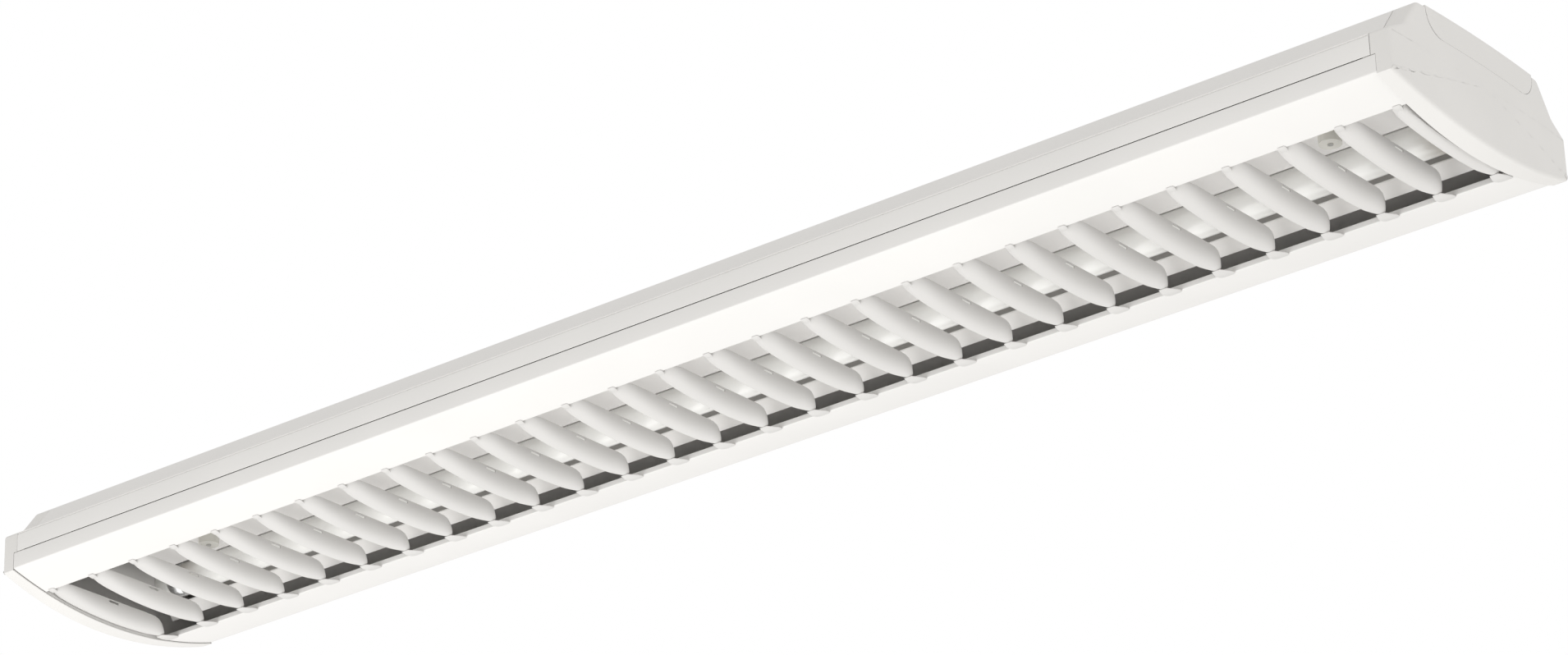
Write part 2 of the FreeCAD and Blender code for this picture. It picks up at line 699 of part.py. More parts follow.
def make_holder_body(y):
    """A lampholder: square head, round foot, recess for the rotor and a slot for the pins below it."""
    z = -s.lamp_drop
    half = s.holder_width / 2
    head = block((holder_face, holder_back), (y - half, y + half), (z, -s.holder_top_drop), "holder_head")
    foot = rod(half, (holder_face, y, z), s.holder_thickness, name="holder_foot")
    recess = rod(s.rotor_radius + s.fit_gap, (holder_face - 1, y, z),
                 1 + s.rotor_thickness + s.fit_gap * 2, name="rotor_recess")
    slot = block((holder_face - 1, holder_face + s.rotor_thickness + s.fit_gap * 2),
                 (y - s.pin_slot / 2, y + s.pin_slot / 2), (z - half - 1, z), "holder_slot")
    return cut(fuse([head, foot], "holder_block"), fuse([recess, slot], "holder_cutter"), "holder")


def make_rotor(y):
    z = -s.lamp_drop
    start = holder_face + s.fit_gap
    disc = rod(s.rotor_radius, (start, y, z), s.rotor_thickness, name="rotor_disc")
    slot = block((start - 1, start + s.rotor_thickness - s.rotor_floor),
                 (y - s.rotor_radius - 1, y + s.rotor_radius + 1),
                 (z - s.pin_slot / 2, z + s.pin_slot / 2), "rotor_slot")
    return cut(disc, slot, "rotor")


def make_lamp(side, y):
    """A lamp and the two rotors that turn with it."""
    z = -s.lamp_drop
    bore = lamp_radius - s.lamp_cap_wall
    glass_radius = bore - 0.05
    glass_half = lamp_half - s.lamp_face_wall - s.fit_gap
    glass = cut(rod(glass_radius, (-glass_half, y, z), 2 * glass_half, name="tube_outer"),
                rod(glass_radius - s.glass_wall, (-glass_half - 1, y, z), 2 * glass_half + 2,
                    name="tube_bore"), "lamp_tube")
    node(glass, f"lamp_tube_{side}")
    cap_start = lamp_half - s.lamp_cap_length
    cap = cut(rod(lamp_radius, (cap_start, y, z), s.lamp_cap_length, name="lamp_cap_block"),
              rod(bore, (cap_start - 1, y, z), s.lamp_cap_length - s.lamp_face_wall + 1,
                  name="lamp_cap_bore"), "lamp_cap_cup")
    pins, holes = [], []
    for offset in (-s.pin_spacing / 2, s.pin_spacing / 2):
        spot = (lamp_half - s.lamp_face_wall, y + offset, z)
        pins.append(rod(s.pin_diameter / 2, spot, s.lamp_face_wall + s.pin_length, name="lamp_pin"))
        holes.append(rod(s.pin_diameter / 2, spot, s.lamp_face_wall + 1, name="lamp_pin_hole"))
    cap = cut(cap, fuse(holes, "lamp_pin_holes"), "lamp_cap")
    node(group([cap, mirrored(cap, ACROSS_X)], "lamp_caps"), f"lamp_caps_{side}")
    ends = group(pins, "lamp_pins_right")
    node(group([ends, mirrored(ends, ACROSS_X)], "lamp_pins"), f"lamp_pins_{side}")
    rotor = make_rotor(y)
    node(rotor, f"rotor_{side}_right")
    node(mirrored(rotor, ACROSS_X), f"rotor_{side}_left")


def make_lamp_ends():
    bracket = make_bracket()
    node(bracket, "lampholder_bracket_right")
    node(mirrored(bracket, ACROSS_X), "lampholder_bracket_left")
    for side, y in (("near", -s.lamp_half_span), ("far", s.lamp_half_span)):
        holder = make_holder_body(y)
        node(holder, f"lampholder_{side}_right")
        node(mirrored(holder, ACROSS_X), f"lampholder_{side}_left")
        make_lamp(side, y)


# ---------------------------------------------------------------- reflector tray

def make_tray():
    reach = lamp_half - s.tray_end_gap
    half = [(s.tray_hat_half, -s.tray_hat_drop), (s.tray_wing_inner, -s.tray_drop),
            (s.tray_wing_outer, -s.tray_drop), (s.tray_skirt_half, -s.tray_skirt_drop)]
    points = [(-y, z) for y, z in reversed(half)] + half
    tray = sheet_bar(points, s.tray_sheet, (-reach, reach), "tray_sheet_metal")
    holes = [rod(s.stud_radius + s.fit_gap, (x, 0, -s.tray_hat_drop - 5), 10, ALONG_Z, "tray_hole")
             for x in (-s.stud_half_span, s.stud_half_span)]
    node(cut(tray, fuse(holes, "tray_holes"), "tray"), "reflector_tray")
    studs = [rod(s.stud_radius, (x, 0, roof_under - s.stud_length), s.stud_length, ALONG_Z, "tray_stud")
             for x in (-s.stud_half_span, s.stud_half_span)]
    node(group(studs, "studs"), "tray_studs")
    knobs = []
    top = -s.tray_hat_drop - s.tray_sheet
    for x in (-s.stud_half_span, s.stud_half_span):
        disc = rod(s.knob_radius, (x, 0, top - s.knob_height), s.knob_height, ALONG_Z, "knob_disc")
        bore = rod(s.stud_radius, (x, 0, top - s.knob_height - 1), s.knob_height + 2, ALONG_Z, "knob_bore")
        knobs.append(cut(disc, bore, "knob"))
    node(group(knobs, "knobs"), "tray_nuts")


# ---------------------------------------------------------------- control gear

def make_ballast():
    centre = ballast_centre
    half = s.ballast_length / 2
    width = s.ballast_width / 2
    base_low = roof_under - s.base_sheet
    base = block((centre - half - s.base_ear, centre + half + s.base_ear), (-width, width),
                 (base_low, roof_under), "ballast_plate")
    screw_spots = [centre - half - s.base_ear + 4, centre + half + s.base_ear - 4]
    holes = [rod(s.screw_radius, (x, 0, base_low - 1), s.base_sheet + 2, ALONG_Z, "plate_hole")
             for x in screw_spots]
    node(cut(base, fuse(holes, "plate_holes"), "ballast_base"), "ballast_base")
    case = block((centre - half, centre + half), (-width, width), (base_low - s.ballast_height, base_low),
                 "ballast_block")
    wall = s.ballast_sheet
    hollow = block((centre - half + wall, centre + half - wall), (-width + wall, width - wall),
                   (base_low - s.ballast_height + wall, base_low + 1), "ballast_hollow")
    node(cut(case, hollow, "ballast_cover"), "ballast_cover")
    board_top = base_low - s.board_drop
    margin = s.board_margin
    board_half = half - wall - margin
    board = block((centre - board_half, centre + board_half), (-width + margin, width - margin),
                  (board_top - s.board_wall, board_top), "board")
    feet = [block((x - margin, x + margin), (-margin, margin), (board_top, base_low), "board_foot")
            for x in (centre - board_half + 3 * margin, centre + board_half - 3 * margin)]
    low = board_top - s.board_wall
    side = s.choke_half
    chokes = [block((centre + x - side, centre + x + side), (-side, side), (low - s.choke_height, low),
                    "choke") for x in (-s.ballast_length * 0.3, -s.ballast_length * 0.1)]
    cans = [rod(s.can_radius, (centre + x, 0, low - s.can_radius * 0.8), s.can_length, ALONG_X, "capacitor")
            for x in (s.ballast_length * 0.05, s.ballast_length * 0.17)]
    node(fuse([board, *feet, *chokes, *[sunk(can, low) for can in cans]], "ballast_board"), "ballast_board")
    connectors = []
    for x in (centre - half - s.connector_length, centre + half):
        connectors.append(block((x, x + s.connector_length), (-width + 2, width - 2),
                                (base_low - s.connector_height, base_low), "connector"))
    node(group(connectors, "connectors"), "ballast_connectors")
    screws = [fuse([rod(s.screw_radius, (x, 0, base_low), s.base_sheet, ALONG_Z, "gear_screw_shank"),
                    rod(s.screw_head_radius, (x, 0, base_low - s.screw_head_height),
                        s.screw_head_height, ALONG_Z, "gear_screw_head")], "gear_screw") for x in screw_spots]
    node(group(screws, "gear_screws"), "ballast_screws")


def sunk(can, level):
    """A capacitor lies on the board, so nothing of it stands over the board's lower face."""
    half = s.ballast_length / 2
    below = block((ballast_centre - half, ballast_centre + half), (-s.ballast_width / 2, s.ballast_width / 2),
                  (level - s.ballast_height, level), "below_board")
    return common(can, below, "capacitor_on_board")


def make_mains_entry():
    centre = s.terminal_centre
    half = s.terminal_length / 2
    width = s.terminal_width / 2
    low = roof_under - s.terminal_height
    block_body = block((centre - half, centre + half), (-width, width), (low, roof_under), "terminal_body")
    poles = [(centre + x, y) for x in (-s.pole_row, s.pole_row)
             for y in (-s.pole_pitch, Size.of(0), s.pole_pitch)]
    wells = [rod(s.well_radius, (x, y, low - 1), s.well_depth + 1, ALONG_Z, "screw_well") for x, y in poles]
    node(cut(block_body, fuse(wells, "screw_wells"), "terminal"), "terminal_block")
    screws = [rod(s.well_radius - s.fit_gap, (x, y, low + s.well_depth * 0.4), s.well_depth * 0.6, ALONG_Z,
                  "terminal_screw") for x, y in poles]
    node(group(screws, "terminal_screw_set"), "terminal_screws")
    entry = s.entry_centre
    sleeve = rod(s.entry_radius, (entry, 0, roof_under - 0.5), s.housing_sheet + 0.5, ALONG_Z,
                 "grommet_sleeve")
    flange = rod(s.grommet_flange, (entry, 0, roof_under - s.grommet_flange_wall), s.grommet_flange_wall,
                 ALONG_Z, "grommet_flange_ring")
    bore = rod(s.grommet_bore, (entry, 0, roof_under - s.grommet_flange_wall - 1), s.grommet_flange_wall + 3,
               ALONG_Z, "grommet_hole")
    node(cut(fuse([sleeve, flange], "grommet_block"), bore, "grommet"), "entry_grommet")
    x = s.earth_centre
    stud = rod(s.stud_radius, (x, 0, roof_under - s.earth_length), s.earth_length, ALONG_Z, "earth_post")
    node(stud, "earth_stud")
    nut_low = roof_under - s.nut_drop
    nut = doc.addObject("Part::Prism", "earth_nut_prism")
    nut.Polygon = 6
    bind(nut, "Circumradius", s.nut_radius)
    bind(nut, "Height", s.nut_height)
    place(nut, x, 0, nut_low)
    nut_bore = rod(s.stud_radius, (x, 0, nut_low - 1), s.nut_height + 2, ALONG_Z, "earth_nut_bore")
    node(cut(nut, nut_bore, "nut"), "earth_nut")


# ---------------------------------------------------------------- leads

def lead(points, bend):
    """A round lead along straight runs that are joined by tangent arcs."""
    spots = [Vector(*map(float, point)) for point in points]
    edges = []
    here = spots[0]
    for before, corner, after in zip(spots, spots[1:], spots[2:]):
        come = (corner - before).normalize()
        go = (after - corner).normalize()
        turn = math.acos(max(-1, min(1, come.dot(go))))
        reach = bend * math.tan(turn / 2)
        start, end = corner - come * reach, corner + go * reach
        inward = (go - come).normalize()
        middle = corner + inward * (bend / math.cos(turn / 2) - bend)
        edges.append(Part.LineSegment(here, start).toShape())
        edges.append(Part.Arc(start, middle, end).toShape())
        here = end
    edges.append(Part.LineSegment(here, spots[-1]).toShape())
    path = Part.Wire(edges)
    radius = float(s.lead_radius)
    first_way = (spots[1] - spots[0]).normalize()
    circle = Part.Wire(Part.makeCircle(radius, spots[0], first_way))
    solid = path.makePipeShell([circle], True, False)
    expected = math.pi * radius ** 2 * path.Length
    if abs(solid.Volume - expected) > 0.02 * expected:
        raise ValueError("a lead's volume does not match its length")
    return solid


def leads_node(paths, bend, name):
    thing = doc.addObject("Part::Feature", name)
    thing.Shape = Part.Compound([lead(path, bend) for path in paths])
    return node(thing, name)


def make_leads():
    bend = 4
    z = -s.lead_drop
    out = ballast_centre - s.ballast_length / 2 - s.connector_length
    left_paths, right_paths = [], []
    for side in (-1, 1):
        for number in (0, 1):
            lane = side * (s.lead_lane + s.lead_pitch * number)
            start = side * (2 + 3 * number)
            step = out - 18 - 5 * (1 - number)
            left_paths.append([(out, start, z), (step, start, z), (step - 16, lane, z),
                               (-holder_face, lane, z)])
            start = side * (8 + 3 * number)
            turn_back = out - 8 - 4 * number
            right_paths.append([(out, start, z - 3), (turn_back - 3, start, z - 3),
                                (turn_back - 3, lane, z + 3), (out + 14, lane, z + 3),
                                (out + 28, lane, z), (holder_face, lane, z)])
    leads_node(left_paths, bend, "lamp_leads_left")
    leads_node(right_paths, 3.2, "lamp_leads_right")
    block_left = s.terminal_centre - s.terminal_length / 2
    connector_right = ballast_centre + s.ballast_length / 2 + s.connector_length
    mains = [[(connector_right, y, z), (block_left, y, z)] for y in (-s.pole_pitch, 0, s.pole_pitch)]
    block_right = s.terminal_centre + s.terminal_length / 2
    swing = s.grommet_flange + 5
    pole = s.pole_pitch
    before_stud = s.earth_centre - s.stud_radius - 3
    mains.append([(block_right, pole, z), (block_right + 5, pole, z), (block_right + 13, swing, z),
                  (before_stud - 6, swing, z), (before_stud, 8, z), (s.earth_centre - 4, 4.2, z)])
    leads_node(mains[:3], bend, "mains_leads")
    leads_node(mains[3:], bend, "earth_lead")
    clips = []
    left_clip = (out - 39 - holder_face) / 2
    for x in (left_clip, -s.clip_inner, s.clip_inner, holder_face - s.clip_end_gap):
        for side in (-1, 1):
            middle = side * (s.lead_lane + s.lead_pitch / 2)
            saddle = block((x - s.clip_length / 2, x + s.clip_length / 2),
                           (middle - s.clip_width / 2, middle + s.clip_width / 2),
                           (roof_under - s.clip_height, roof_under), "saddle")
            lanes = [side * (s.lead_lane + s.lead_pitch * number) for number in (0, 1)]
            bores = [rod(s.lead_radius + 0.1, (x - s.clip_length, lane, z), 2 * s.clip_length,
                         name="saddle_bore") for lane in lanes]
            clips.append(cut(saddle, fuse(bores, "saddle_bores"), "lead_clip"))
    node(group(clips, "lead_clip_set"), "lead_clips")


# ---------------------------------------------------------------- louvre

def belly(y, rise=0):
    """Height of the curved underside, or of a curve parallel to it, at a distance from the middle."""
    radius = belly_radius - rise
    return belly_centre - (radius * radius - Size.of(y) * y).root()


def opening(side):
    """Inner edge of a rail from the middle, on the near (-1) or far (1) side."""
    return s.opening_near if side < 0 else s.opening_far


def rail_section(side):
    """A rail: outer band, curved bottom flange with an upturned edge, and a return at the top."""
    sheet = s.rail_sheet
    outer, inner = half_width, opening(side)
    points = [(outer, rail_top), (outer, -s.band_drop), (inner, belly(inner)),
              (inner, belly(inner) + sheet + s.flange_lip),
              (inner + sheet, belly(inner) + sheet + s.flange_lip),
              (inner + sheet, belly(inner + sheet, sheet)), (outer - sheet, belly(outer - sheet, sheet)),
              (outer - sheet, rail_top - sheet), (outer - s.rail_return, rail_top - sheet),
              (outer - s.rail_return, rail_top)]
    bulge = {1: (belly_radius, 1), 5: (belly_radius - sheet, -1)}
    if side < 0:
        points = [(-y, z) for y, z in points]
        bulge = {line: (radius, -turn) for line, (radius, turn) in bulge.items()}
    return points, bulge


def make_rails():
    points, arcs = rail_section(-1)
    near = bar(points, (-rail_half, rail_half), arcs, "near_rail_sheet")
    tongues = [block((x - s.catch_width / 2, x + s.catch_width / 2),
                     (-s.tongue_half - s.rail_sheet / 2, -s.tongue_half + s.rail_sheet / 2),
                     (rail_top - s.rail_sheet, rail_top + s.tongue_height), "tongue")
               for x in (-s.catch_half_span, s.catch_half_span)]
    node(fuse([near, *tongues], "near_rail"), "louvre_rail_near")
    points, arcs = rail_section(1)
    far = bar(points, (-rail_half, rail_half), arcs, "far_rail_sheet")
    corner = block((-rail_half - 1, rail_half + 1), (hinge_y, half_width + 1), (hinge_z, rail_top + 1),
                   "bead_corner")
    bead = rod(s.hinge_radius, (-rail_half, hinge_y, hinge_z), 2 * rail_half, name="hinge_bead")
    far = fuse([cut(far, corner, "far_rail_trimmed"), bead], "far_rail_bead")
    bores = []
    for start in (-rail_half - 1, rail_half - s.hinge_pin_inside - 1):
        bores.append(rod(s.hinge_pin_radius + s.hinge_running_gap, (start, hinge_y, hinge_z),
                         s.hinge_pin_inside + 2, name="bead_bore"))
    node(cut(far, fuse(bores, "bead_bores"), "far_rail"), "louvre_rail_far")


def make_side_reflectors():
    reach = rail_half - s.reflector_end_gap
    web = rail_top + s.reflector_sheet
    for side, name in ((1, "side_reflector_far"), (-1, "side_reflector_near")):
        low = opening(side) + s.reflector_behind
        points = [(low, -s.reflector_low_drop), (low - s.reflector_lean, web), (s.reflector_web_half, web)]
        sheet = sheet_bar(points, s.reflector_sheet, (-reach, reach), name + "_sheet")
        node(sheet if side > 0 else mirrored(sheet, ACROSS_Y), name)


def blade_gutter(inset, name):
    """A bar with the blade's rounded section, turned about the centre of the underside's curve."""
    inset = Size.of(inset)
    low = -s.belly_drop + inset
    rise = s.blade_foot_rise - inset * 0.75
    foot = low + rise
    top = -s.belly_drop + s.blade_height + s.blade_sheet
    wide, narrow = s.blade_half_width - inset, s.blade_foot_half - inset
    radius = (narrow * narrow + rise * rise) / (2 * rise)
    sketch = doc.addObject("Sketcher::SketchObject", name + "_section")
    place(sketch, turn=FreeCAD.Rotation(Vector(1, 0, 0), 90))
    draw(sketch, [(-wide, top), (-narrow, foot), (0, low), (narrow, foot), (wide, top)],
         {1: (radius, -1), 2: (radius, -1)})
    gutter = doc.addObject("Part::Revolution", name)
    gutter.Source = sketch
    gutter.Axis = Vector(1, 0, 0)
    bind_axis(gutter, belly_centre)
    gutter.Angle = 26
    gutter.Symmetric = True
    gutter.Solid = True
    return gutter


def bind_axis(turned, height):
    turned.Base = Vector(0, 0, float(height))
    turned.setExpression("Base.z", height.text)


def blade_end(side):
    """End of the blade's trough, short of the rail's edge."""
    return (opening(side) - (s.blade_end_gap if side < 0 else s.blade_far_gap)) * side


def blade_leaf(inset, name):
    """The blade's plan: parallel in the middle, blunt at the near end and narrow at the far end."""
    half = s.blade_half_width + s.blade_sheet - inset
    near, far = blade_end(-1) + inset, blade_end(1) - inset
    near_half, far_half = s.blade_near_half - inset, s.blade_far_half - inset
    near_bulge, far_bulge = [((s.blade_taper * s.blade_taper + step * step) / (2 * step), -1)
                             for step in (half - near_half, half - far_half)]
    right = [(near_half, near), (half, near + s.blade_taper), (half, far - s.blade_taper), (far_half, far)]
    points = right + [(-x, y) for x, y in reversed(right)]
    arcs = {0: near_bulge, 2: far_bulge, 4: far_bulge, 6: near_bulge}
    return slab(points, (-s.belly_drop - 5, -s.belly_drop + 2 * s.blade_height), arcs, name)


def blade_tab(side, x_range, name):
    """The tab that hooks a blade under the flange of a rail."""
    root = blade_end(side) * side - s.tab_root
    edge = opening(side) - s.blade_end_gap
    tip = opening(side) + s.tab_reach
    points = [(root, belly(root, -s.tab_wall)), (tip, belly(tip, -s.tab_wall)), (tip, belly(tip, -s.tab_gap)),
              (edge, belly(edge, -s.tab_gap)), (root, belly(root, s.tab_wall))]
    arcs = {0: (belly_radius + s.tab_wall, -1), 2: (belly_radius + s.tab_gap, 1)}
    if side < 0:
        points = [(-y, z) for y, z in points]
        arcs = {0: (belly_radius + s.tab_wall, 1), 2: (belly_radius + s.tab_gap, -1)}
    return bar(points, x_range, arcs, name)


def make_blade(right_reach, name):
    """One blade at X = 0: a boat-shaped trough, its tabs hooked under the rails' flanges."""
    near, far = blade_end(-1), blade_end(1)
    low, top = -s.belly_drop - 5, -s.belly_drop + s.blade_height
    reach = 2 * s.blade_half_width
    profile = [(near, low), (far, low), (far, belly(far) + s.blade_far_rise), (far - s.blade_taper, top),
               (near, top)]
    limit = bar(profile, (-reach, reach), {2: (s.blade_fall_radius, -1)}, name + "_limit")
    outer = common(blade_gutter(0, name + "_outside"), limit, name + "_levelled")
    outer = common(outer, blade_leaf(0, name + "_leaf"), name + "_block")
    inner = common(blade_gutter(s.blade_sheet, name + "_inside"),
                   blade_leaf(s.blade_sheet, name + "_inner_leaf"), name + "_hollow")
    tab_half = s.tab_width / 2
    right = tab_half
    if right_reach is not None:
        right = right_reach
        across, upright = (near - 1, far + 1), (low, top + s.blade_height)
        outer = common(outer, block((-reach, right), across, upright, name + "_half"), name + "_half_block")
        inner = common(inner, block((-reach, right - s.blade_sheet), across, upright, name + "_inner_half"),
                       name + "_half_hollow")
    blade = cut(outer, inner, name + "_trough")
    slot_low = -s.belly_drop + s.blade_slot_rise
    middle = -s.blade_slot_middle
    slot = block((-reach, reach), (middle - s.blade_slot_half, middle + s.blade_slot_half),
                 (slot_low, slot_low + s.blade_slot_height), name + "_slot")
    blade = cut(blade, slot, name + "_slotted")
    tabs = [blade_tab(side, (-tab_half, right), f"{name}_tab_{number}")
            for number, side in enumerate((-1, 1))]
    return fuse([blade, *tabs], name)


def make_blades():
    blade = make_blade(None, "cross_blade")
    end_blade = make_blade(s.end_blade_reach, "end_blade")
    doc.recompute()
    cells = int(round(float(s.cell_count)))
    pitch = float(blade_pitch)
    first = -float(half_length - s.blade_inset)
    rows = []
    for number in range(1, cells):
        copy = blade.Shape.copy()
        copy.translate(Vector(first + pitch * number, 0, 0))
        rows.append(copy)
    thing = doc.addObject("Part::Feature", "cross_blades")
    thing.Shape = Part.Compound(rows)
    node(thing, "cross_blades")
    right = doc.addObject("Part::Compound", "end_blade_right")
    right.Links = [end_blade]
    place(right, half_length - s.blade_inset)
    node(right, "end_blade_right")
    node(mirrored(right, ACROSS_X), "end_blade_left")


def make_catches():
    wall = -half_width + s.housing_sheet
    tongue_outer = -s.tongue_half - s.rail_sheet / 2
    tongue_inner = -s.tongue_half + s.rail_sheet / 2
    sheet = s.catch_sheet
    under = rail_top + s.tongue_height + 1.5
    low = under - s.catch_leaf
    leaf_a = tongue_outer - s.catch_play
    leaf_b = tongue_inner + s.fit_gap
    points = [(wall, low), (wall + sheet, low), (wall + sheet, under), (leaf_a - sheet, under),
              (leaf_a - sheet, low), (leaf_a, low), (leaf_a, under), (leaf_b, under), (leaf_b, low),
              (leaf_b + sheet, low),
              (leaf_b + sheet, under + sheet), (wall, under + sheet)]
    half = s.catch_width / 2
    clips = [bar(points, (x - half, x + half), name="catch") for x in (-s.catch_half_span, s.catch_half_span)]
    node(group(clips, "catches"), "spring_catches")


# ---------------------------------------------------------------- build, check and write

def check_and_write():
    doc.recompute()
    os.makedirs("parts", exist_ok=True)
    faulty = [thing.Name for thing in doc.Objects if {"Invalid", "Error"} & set(thing.State)]
    if faulty:
        raise ValueError("failed objects: " + ", ".join(faulty))
    for name, thing in parts.items():
        shape = thing.Shape
        if shape.isNull() or not shape.isValid() or not shape.Solids:
            raise ValueError(f"{name} has no valid solid")
    for name, thing in parts.items():
        thing.Shape.exportStep(os.path.join("parts", name + ".step"))
        box = thing.Shape.BoundBox
        print(f"{name:28s} {len(thing.Shape.Solids):3d} solid(s)  {thing.Shape.Volume / 1000:9.2f} cm3  "
              f"z {box.ZMin:.1f}..{box.ZMax:.1f}")


def main():
    make_housing_shell()
    make_end_pieces()
    make_lamp_ends()
    make_tray()
    make_ballast()
    make_mains_entry()
    make_leads()
    make_rails()
    make_side_reflectors()
    make_blades()
    make_catches()
    check_and_write()


main()
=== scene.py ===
"""Looks of a surface-mounted luminaire for two straight lamps with a cross-blade louvre.

Lengths are in metres. X runs along the luminaire, Y across it towards the hinged side of the louvre,
and Z up to the ceiling face at Z = 0.
"""

import json
import math

import bmesh
import bpy
from bpy.props import FloatProperty, FloatVectorProperty, PointerProperty
from mathutils import Matrix, Vector


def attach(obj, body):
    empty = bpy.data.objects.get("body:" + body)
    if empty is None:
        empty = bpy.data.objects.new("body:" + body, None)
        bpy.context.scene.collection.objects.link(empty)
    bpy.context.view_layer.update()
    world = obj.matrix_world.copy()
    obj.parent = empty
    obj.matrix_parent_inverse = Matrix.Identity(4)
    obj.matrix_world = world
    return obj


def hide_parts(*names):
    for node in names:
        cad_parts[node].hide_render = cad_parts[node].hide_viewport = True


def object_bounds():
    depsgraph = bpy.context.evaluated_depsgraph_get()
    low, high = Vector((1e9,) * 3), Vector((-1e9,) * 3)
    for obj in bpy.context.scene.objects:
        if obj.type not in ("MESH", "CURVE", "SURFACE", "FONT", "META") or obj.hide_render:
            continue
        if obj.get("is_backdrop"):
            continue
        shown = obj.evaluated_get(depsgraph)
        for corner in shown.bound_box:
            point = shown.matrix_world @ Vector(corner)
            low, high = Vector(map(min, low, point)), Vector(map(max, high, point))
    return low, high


bl_info = {
    "name": "Louvre Luminaire",
    "version": (1, 0, 0),
    "blender": (4, 5, 0),
    "location": "3D View > Sidebar > Luminaire",
    "description": "Builds the looks of a surface-mounted louvre luminaire around its construction model",
    "category": "Object",
}

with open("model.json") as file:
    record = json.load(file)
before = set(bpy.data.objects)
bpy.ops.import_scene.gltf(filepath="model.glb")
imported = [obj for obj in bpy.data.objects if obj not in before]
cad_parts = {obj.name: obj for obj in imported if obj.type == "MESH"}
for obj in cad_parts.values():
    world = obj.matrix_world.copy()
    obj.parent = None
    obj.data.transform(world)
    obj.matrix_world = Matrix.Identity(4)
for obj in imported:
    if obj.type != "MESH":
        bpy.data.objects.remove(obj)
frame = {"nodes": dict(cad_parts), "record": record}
cad_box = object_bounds()

MM = 0.001


# ---------------------------------------------------------------- settings

class LuminaireFinish(bpy.types.PropertyGroup):
    """Colours and surface of the luminaire."""
    paint: FloatVectorProperty(
        name="Paint", description="Colour of the coated steel", subtype="COLOR",
        size=3, min=0, max=1, default=(0.83, 0.822, 0.81))
    plastic: FloatVectorProperty(
        name="End cap plastic", description="Colour of the moulded end caps", subtype="COLOR",
        size=3, min=0, max=1, default=(0.79, 0.78, 0.765))
    blades: FloatVectorProperty(
        name="Blades", description="Colour of the louvre's blades", subtype="COLOR",
        size=3, min=0, max=1, default=(0.70, 0.69, 0.678))
    reflector: FloatVectorProperty(
        name="Reflectors", description="Colour of the white reflectors", subtype="COLOR",
        size=3, min=0, max=1, default=(0.90, 0.885, 0.87))
    peel: FloatProperty(
        name="Orange peel", description="Strength of the coating's fine waves", min=0, max=1, default=0.12)
    glow: FloatProperty(
        name="Lamp glow", description="Light that the lamp tubes give off", min=0, max=20, default=0.12)


class LuminaireShape(bpy.types.PropertyGroup):
    """Rounding of the visible pieces."""
    cap_edge: FloatProperty(
        name="Cap edge", description="Rounding round the end face, in millimetres", min=0.5, max=5,
        default=3.0)
    sheet_bend: FloatProperty(
        name="Sheet bend", description="Outer radius of the rails' bends, in millimetres", min=0.3, max=3,
        default=1.3)
    blade_fullness: FloatProperty(
        name="Blade fullness", description="2 gives oval blades, and more gives squarer ones", min=2, max=5,
        default=2.5)


class LuminaireStage(bpy.types.PropertyGroup):
    """Camera, lamps and floor around the luminaire."""
    focal_length: FloatProperty(
        name="Focal length", description="Camera lens, in millimetres", min=10, max=400, default=114.93)
    floor_drop: FloatProperty(
        name="Floor", description="Floor below the ceiling face", unit="LENGTH", min=0.2, max=10, default=4.5)


# ---------------------------------------------------------------- shader maths

class Value:
    """A shader socket on which Python's operators add Math nodes."""

    def __init__(self, nodes, socket):
        self.nodes = nodes
        self.socket = socket

    def math(self, operation, *others):
        return self.nodes.node("ShaderNodeMath", {"operation": operation}, {
            number: other for number, other in enumerate((self, *others))})

    def __add__(self, other):
        return self.math("ADD", other)

    __radd__ = __add__

    def __sub__(self, other):
        return self.math("SUBTRACT", other)

    def __rsub__(self, other):
        return (self * -1.0) + other

    def __mul__(self, other):
        return self.math("MULTIPLY", other)

    __rmul__ = __mul__

    def __truediv__(self, other):
        return self.math("DIVIDE", other)

    def __pow__(self, other):
        return self.math("POWER", other)

    def step(self, low, high):
        """0 below low, 1 above high and smooth between them."""
        return self.nodes.node(
            "ShaderNodeMapRange", {"interpolation_type": "SMOOTHSTEP"},
            {"Value": self, "From Min": low, "From Max": high}, "Result")


class Nodes:
    """The node tree of one material."""

    def __init__(self, name):
        self.material = bpy.data.materials.new(name)
        self.material.use_nodes = True
        self.tree = self.material.node_tree
        self.tree.nodes.clear()

    def node(self, kind, settings=None, inputs=None, output=0):
        made = self.tree.nodes.new(kind)
        for key, setting in (settings or {}).items():
            if key == "stops":
                ramp = made.color_ramp.elements
                while len(ramp) > 1:
                    ramp.remove(ramp[-1])
                for number, (position, color) in enumerate(setting):
                    element = ramp[0] if number == 0 else ramp.new(position)
                    element.position = position
                    element.color = (*color, 1)
            else:
                setattr(made, key, setting)
        for key, given in (inputs or {}).items():
            if isinstance(given, Value):
                self.tree.links.new(given.socket, made.inputs[key])
            else:
                made.inputs[key].default_value = given
        return Value(self, made.outputs[output])

    def place(self):
        return self.node("ShaderNodeTexCoord", output="Object")

    def noise(self, scale, detail=2.0, where=None, roughness=0.5):
        return self.node("ShaderNodeTexNoise", {}, {
            "Vector": where or self.place(), "Scale": scale, "Detail": detail, "Roughness": roughness}, "Fac")

    def blend(self, factor, first, second):
        return self.node("ShaderNodeMix", {"data_type": "RGBA"}, {0: factor, 6: first, 7: second}, 2)

    def bump(self, height, distance, strength=1.0, normal=None):
        inputs = {"Height": height, "Distance": distance, "Strength": strength}
        if normal:
            inputs["Normal"] = normal
        return self.node("ShaderNodeBump", {}, inputs)

    def output(self, shader):
        """Link the shader to the material's output, which has no socket of its own to give back."""
        made = self.tree.nodes.new("ShaderNodeOutputMaterial")
        self.tree.links.new(shader.socket, made.inputs["Surface"])
        return self.material


def rgba(color):
    return (*color, 1.0)


